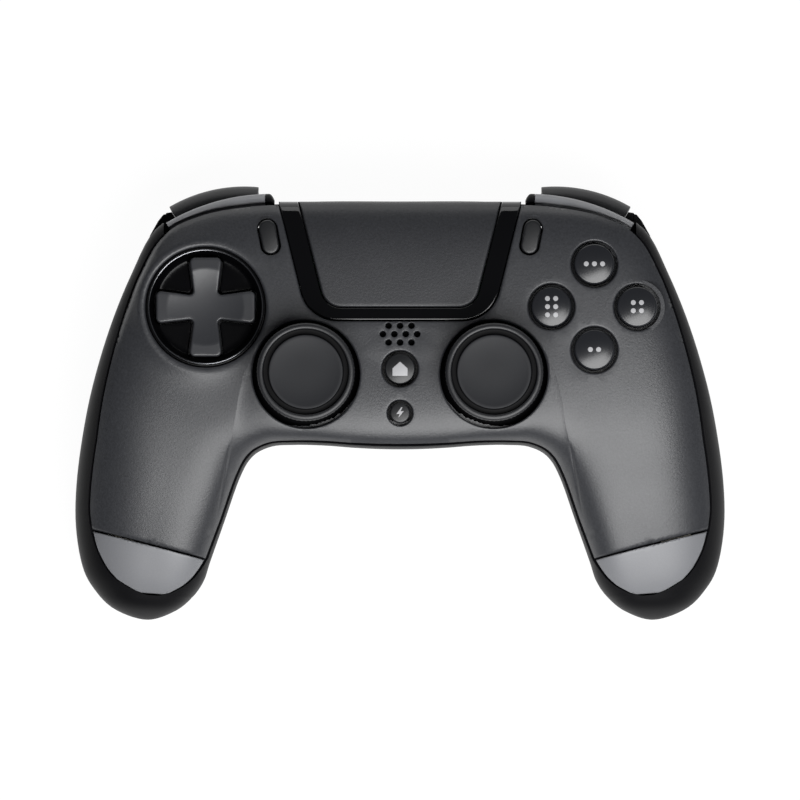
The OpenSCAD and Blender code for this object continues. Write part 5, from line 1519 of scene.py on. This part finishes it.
def fit_lip(piece, s):
    """Moves the step so that it keeps one gap to the shell's edge all along."""
    t = np.linspace(9.6, 12.6, 60)
    rim = skin(t, edge(t, SEAM, True))[:, :2] - [-BUMPER_C[0], BUMPER_C[1]]
    angle, far = np.arctan2(rim[:, 1], -rim[:, 0]), np.hypot(*rim.T)
    for v in piece.data.vertices:
        x, y = s * v.co.x / mm - BUMPER_C[0], v.co.y / mm - BUMPER_C[1]
        r = math.hypot(x, y)
        if LIP_R - 0.2 < r < LIP_R + 0.5 and v.co.z > (BUMPER_TOP - 2) * mm:
            k = 1 + (np.interp(math.atan2(y, x), angle, far) + LIP_GAP - LIP_R) / r
            v.co.x, v.co.y = s * (BUMPER_C[0] + x * k) * mm, (BUMPER_C[1] + y * k) * mm


print("section of a bumper", len(bumper_section()), "points")

# %% Bumpers
TIP_SPAN, TIP_GAP, TIP_TAPER, TIP_FALL, TIP_R, TIP_DEEP = 2.65, 0.05, 1.6, 1.6, 47, 3.6
HUB = [(1.15, 26.6), (2.2, 26.6), (2.2, 31.6), (1.15, 31.6)]
HUB_PLACE = (31.8, 45.8)


def soften(piece, width):
    """Bevels the sharp edges of a piece."""
    apply(piece, "BEVEL", width=width * mm, segments=3, limit_method="ANGLE", angle_limit=math.radians(50))


def round_tip(tip, centre, s):
    """Draws the end of a black tip in, more towards its outer face."""
    last = 180 - BUMPER_SPAN[0]
    for v in tip.data.vertices:
        x, y = v.co.x / mm - centre[0], v.co.y / mm - centre[1]
        r, a = math.hypot(x, y), math.degrees(math.atan2(y, s * x))
        near = max(0.0, 1 - (last - a) / TIP_TAPER)
        shrink = 1 - TIP_FALL * near ** 2 * max(0, r - TIP_R) / TIP_DEEP / r
        v.co.x, v.co.y = (centre[0] + x * shrink) * mm, (centre[1] + y * shrink) * mm


def bumper(s):
    body = "left_bumper" if s < 0 else "right_bumper"
    centre = (s * BUMPER_C[0], BUMPER_C[1])
    start, end = BUMPER_SPAN
    seam = start + TIP_SPAN
    band = spun(body + "_band", bumper_section(), centre, swing((seam + TIP_GAP, end), s), 60, True)
    fit_lip(band, s)
    soften(band, 0.3)
    close_up(band)
    # The band's light grey finish is painted sheen for the back light's reflection.
    dress(band, "bumper_grey", body, "bumper_grey", body)
    tip = spun(body + "_tip", bumper_section(), centre, swing((start, seam), s), 24, True)
    fit_lip(tip, s)
    round_tip(tip, centre, s)
    soften(tip, 0.3)
    hub = spun("hub", HUB, (s * HUB_PLACE[0], HUB_PLACE[1]), steps=40, closed=True)
    arm = box("arm", *sorted((s * 32.4, s * 34)), 45.8, 49.6, 26.6, 30.6)
    tip = joined(tip, hub, arm)
    close_up(tip)
    dress(tip, "shell_black", body, "shell_black")


for side in (-1, 1):
    bumper(side)

# %% [markdown]
# ## Triggers
# Under each bumper hangs a trigger, a curved plate that is drawn in for the finger and
# flares out again at its lower end. It could be a subdivided box, but the plate follows an
# arc round the shoulder, so its section is spun like the bumper's. Cheeks close its ends,
# and two arms join it to the hub inside.

# %% Triggers
TRIGGER_FACE = [(-5, 0), (-3.6, 0), (-2.6, 0.25), (-1.7, 0.8), (-0.95, 1.6), (-0.4, 2.7), (-0.1, 4),
                (0, 5.4), (-0.1, 7), (-0.35, 8.7), (-0.7, 10.6), (-1.1, 13), (-1.25, 14.5), (-1.3, 16),
                (-1.15, 17.2), (-0.9, 18), (-0.6, 18.7), (-0.5, 19)]
TRIGGER_BACK = [(-2.6, 19), (-3.4, 14), (-2.6, 6), (-3, 3.6), (-3.8, 2), (-5, 1.6)]
CHEEK_SPAN, ARMS_X, ARM_HALF, ARM_REACH = 2.6, (41.7, 50.3), 1, 33.4


def trigger(s):
    body = "left_trigger" if s < 0 else "right_trigger"
    centre = (s * TRIGGER_C[0], TRIGGER_C[1])
    section = [(TRIGGER_R + d, TRIGGER_TOP - z) for d, z in TRIGGER_FACE + TRIGGER_BACK]
    piece = spun(body + "_face", section, centre, swing(TRIGGER_SPAN, s), 64, True)
    soften(piece, 0.4)
    parts, hood_r = [], TRIGGER_R - 5
    cheek = [(hood_r, 24.2), (hood_r + 2, 24.2), (hood_r + 2.6, 12), (hood_r + 1.2, 12), (hood_r, 18.5)]
    for start in (TRIGGER_SPAN[0], TRIGGER_SPAN[1] - CHEEK_SPAN):
        parts.append(spun("cheek", cheek, centre, swing((start, start + CHEEK_SPAN), s), 8, True))
    for x in ARMS_X:
        end = TRIGGER_C[1] + math.sqrt(ARM_REACH ** 2 - (x - TRIGGER_C[0]) ** 2)
        x0, x1 = sorted((s * (x - ARM_HALF), s * (x + ARM_HALF)))
        parts.append(box("arm", x0, x1, HUB_Y, end, HUB_Z - 2.4, HUB_Z + 1.6))
    piece = joined(piece, *parts)
    close_up(piece)
    dress(piece, "trigger_black", body, "trigger_black", body)


for side in (-1, 1):
    trigger(side)
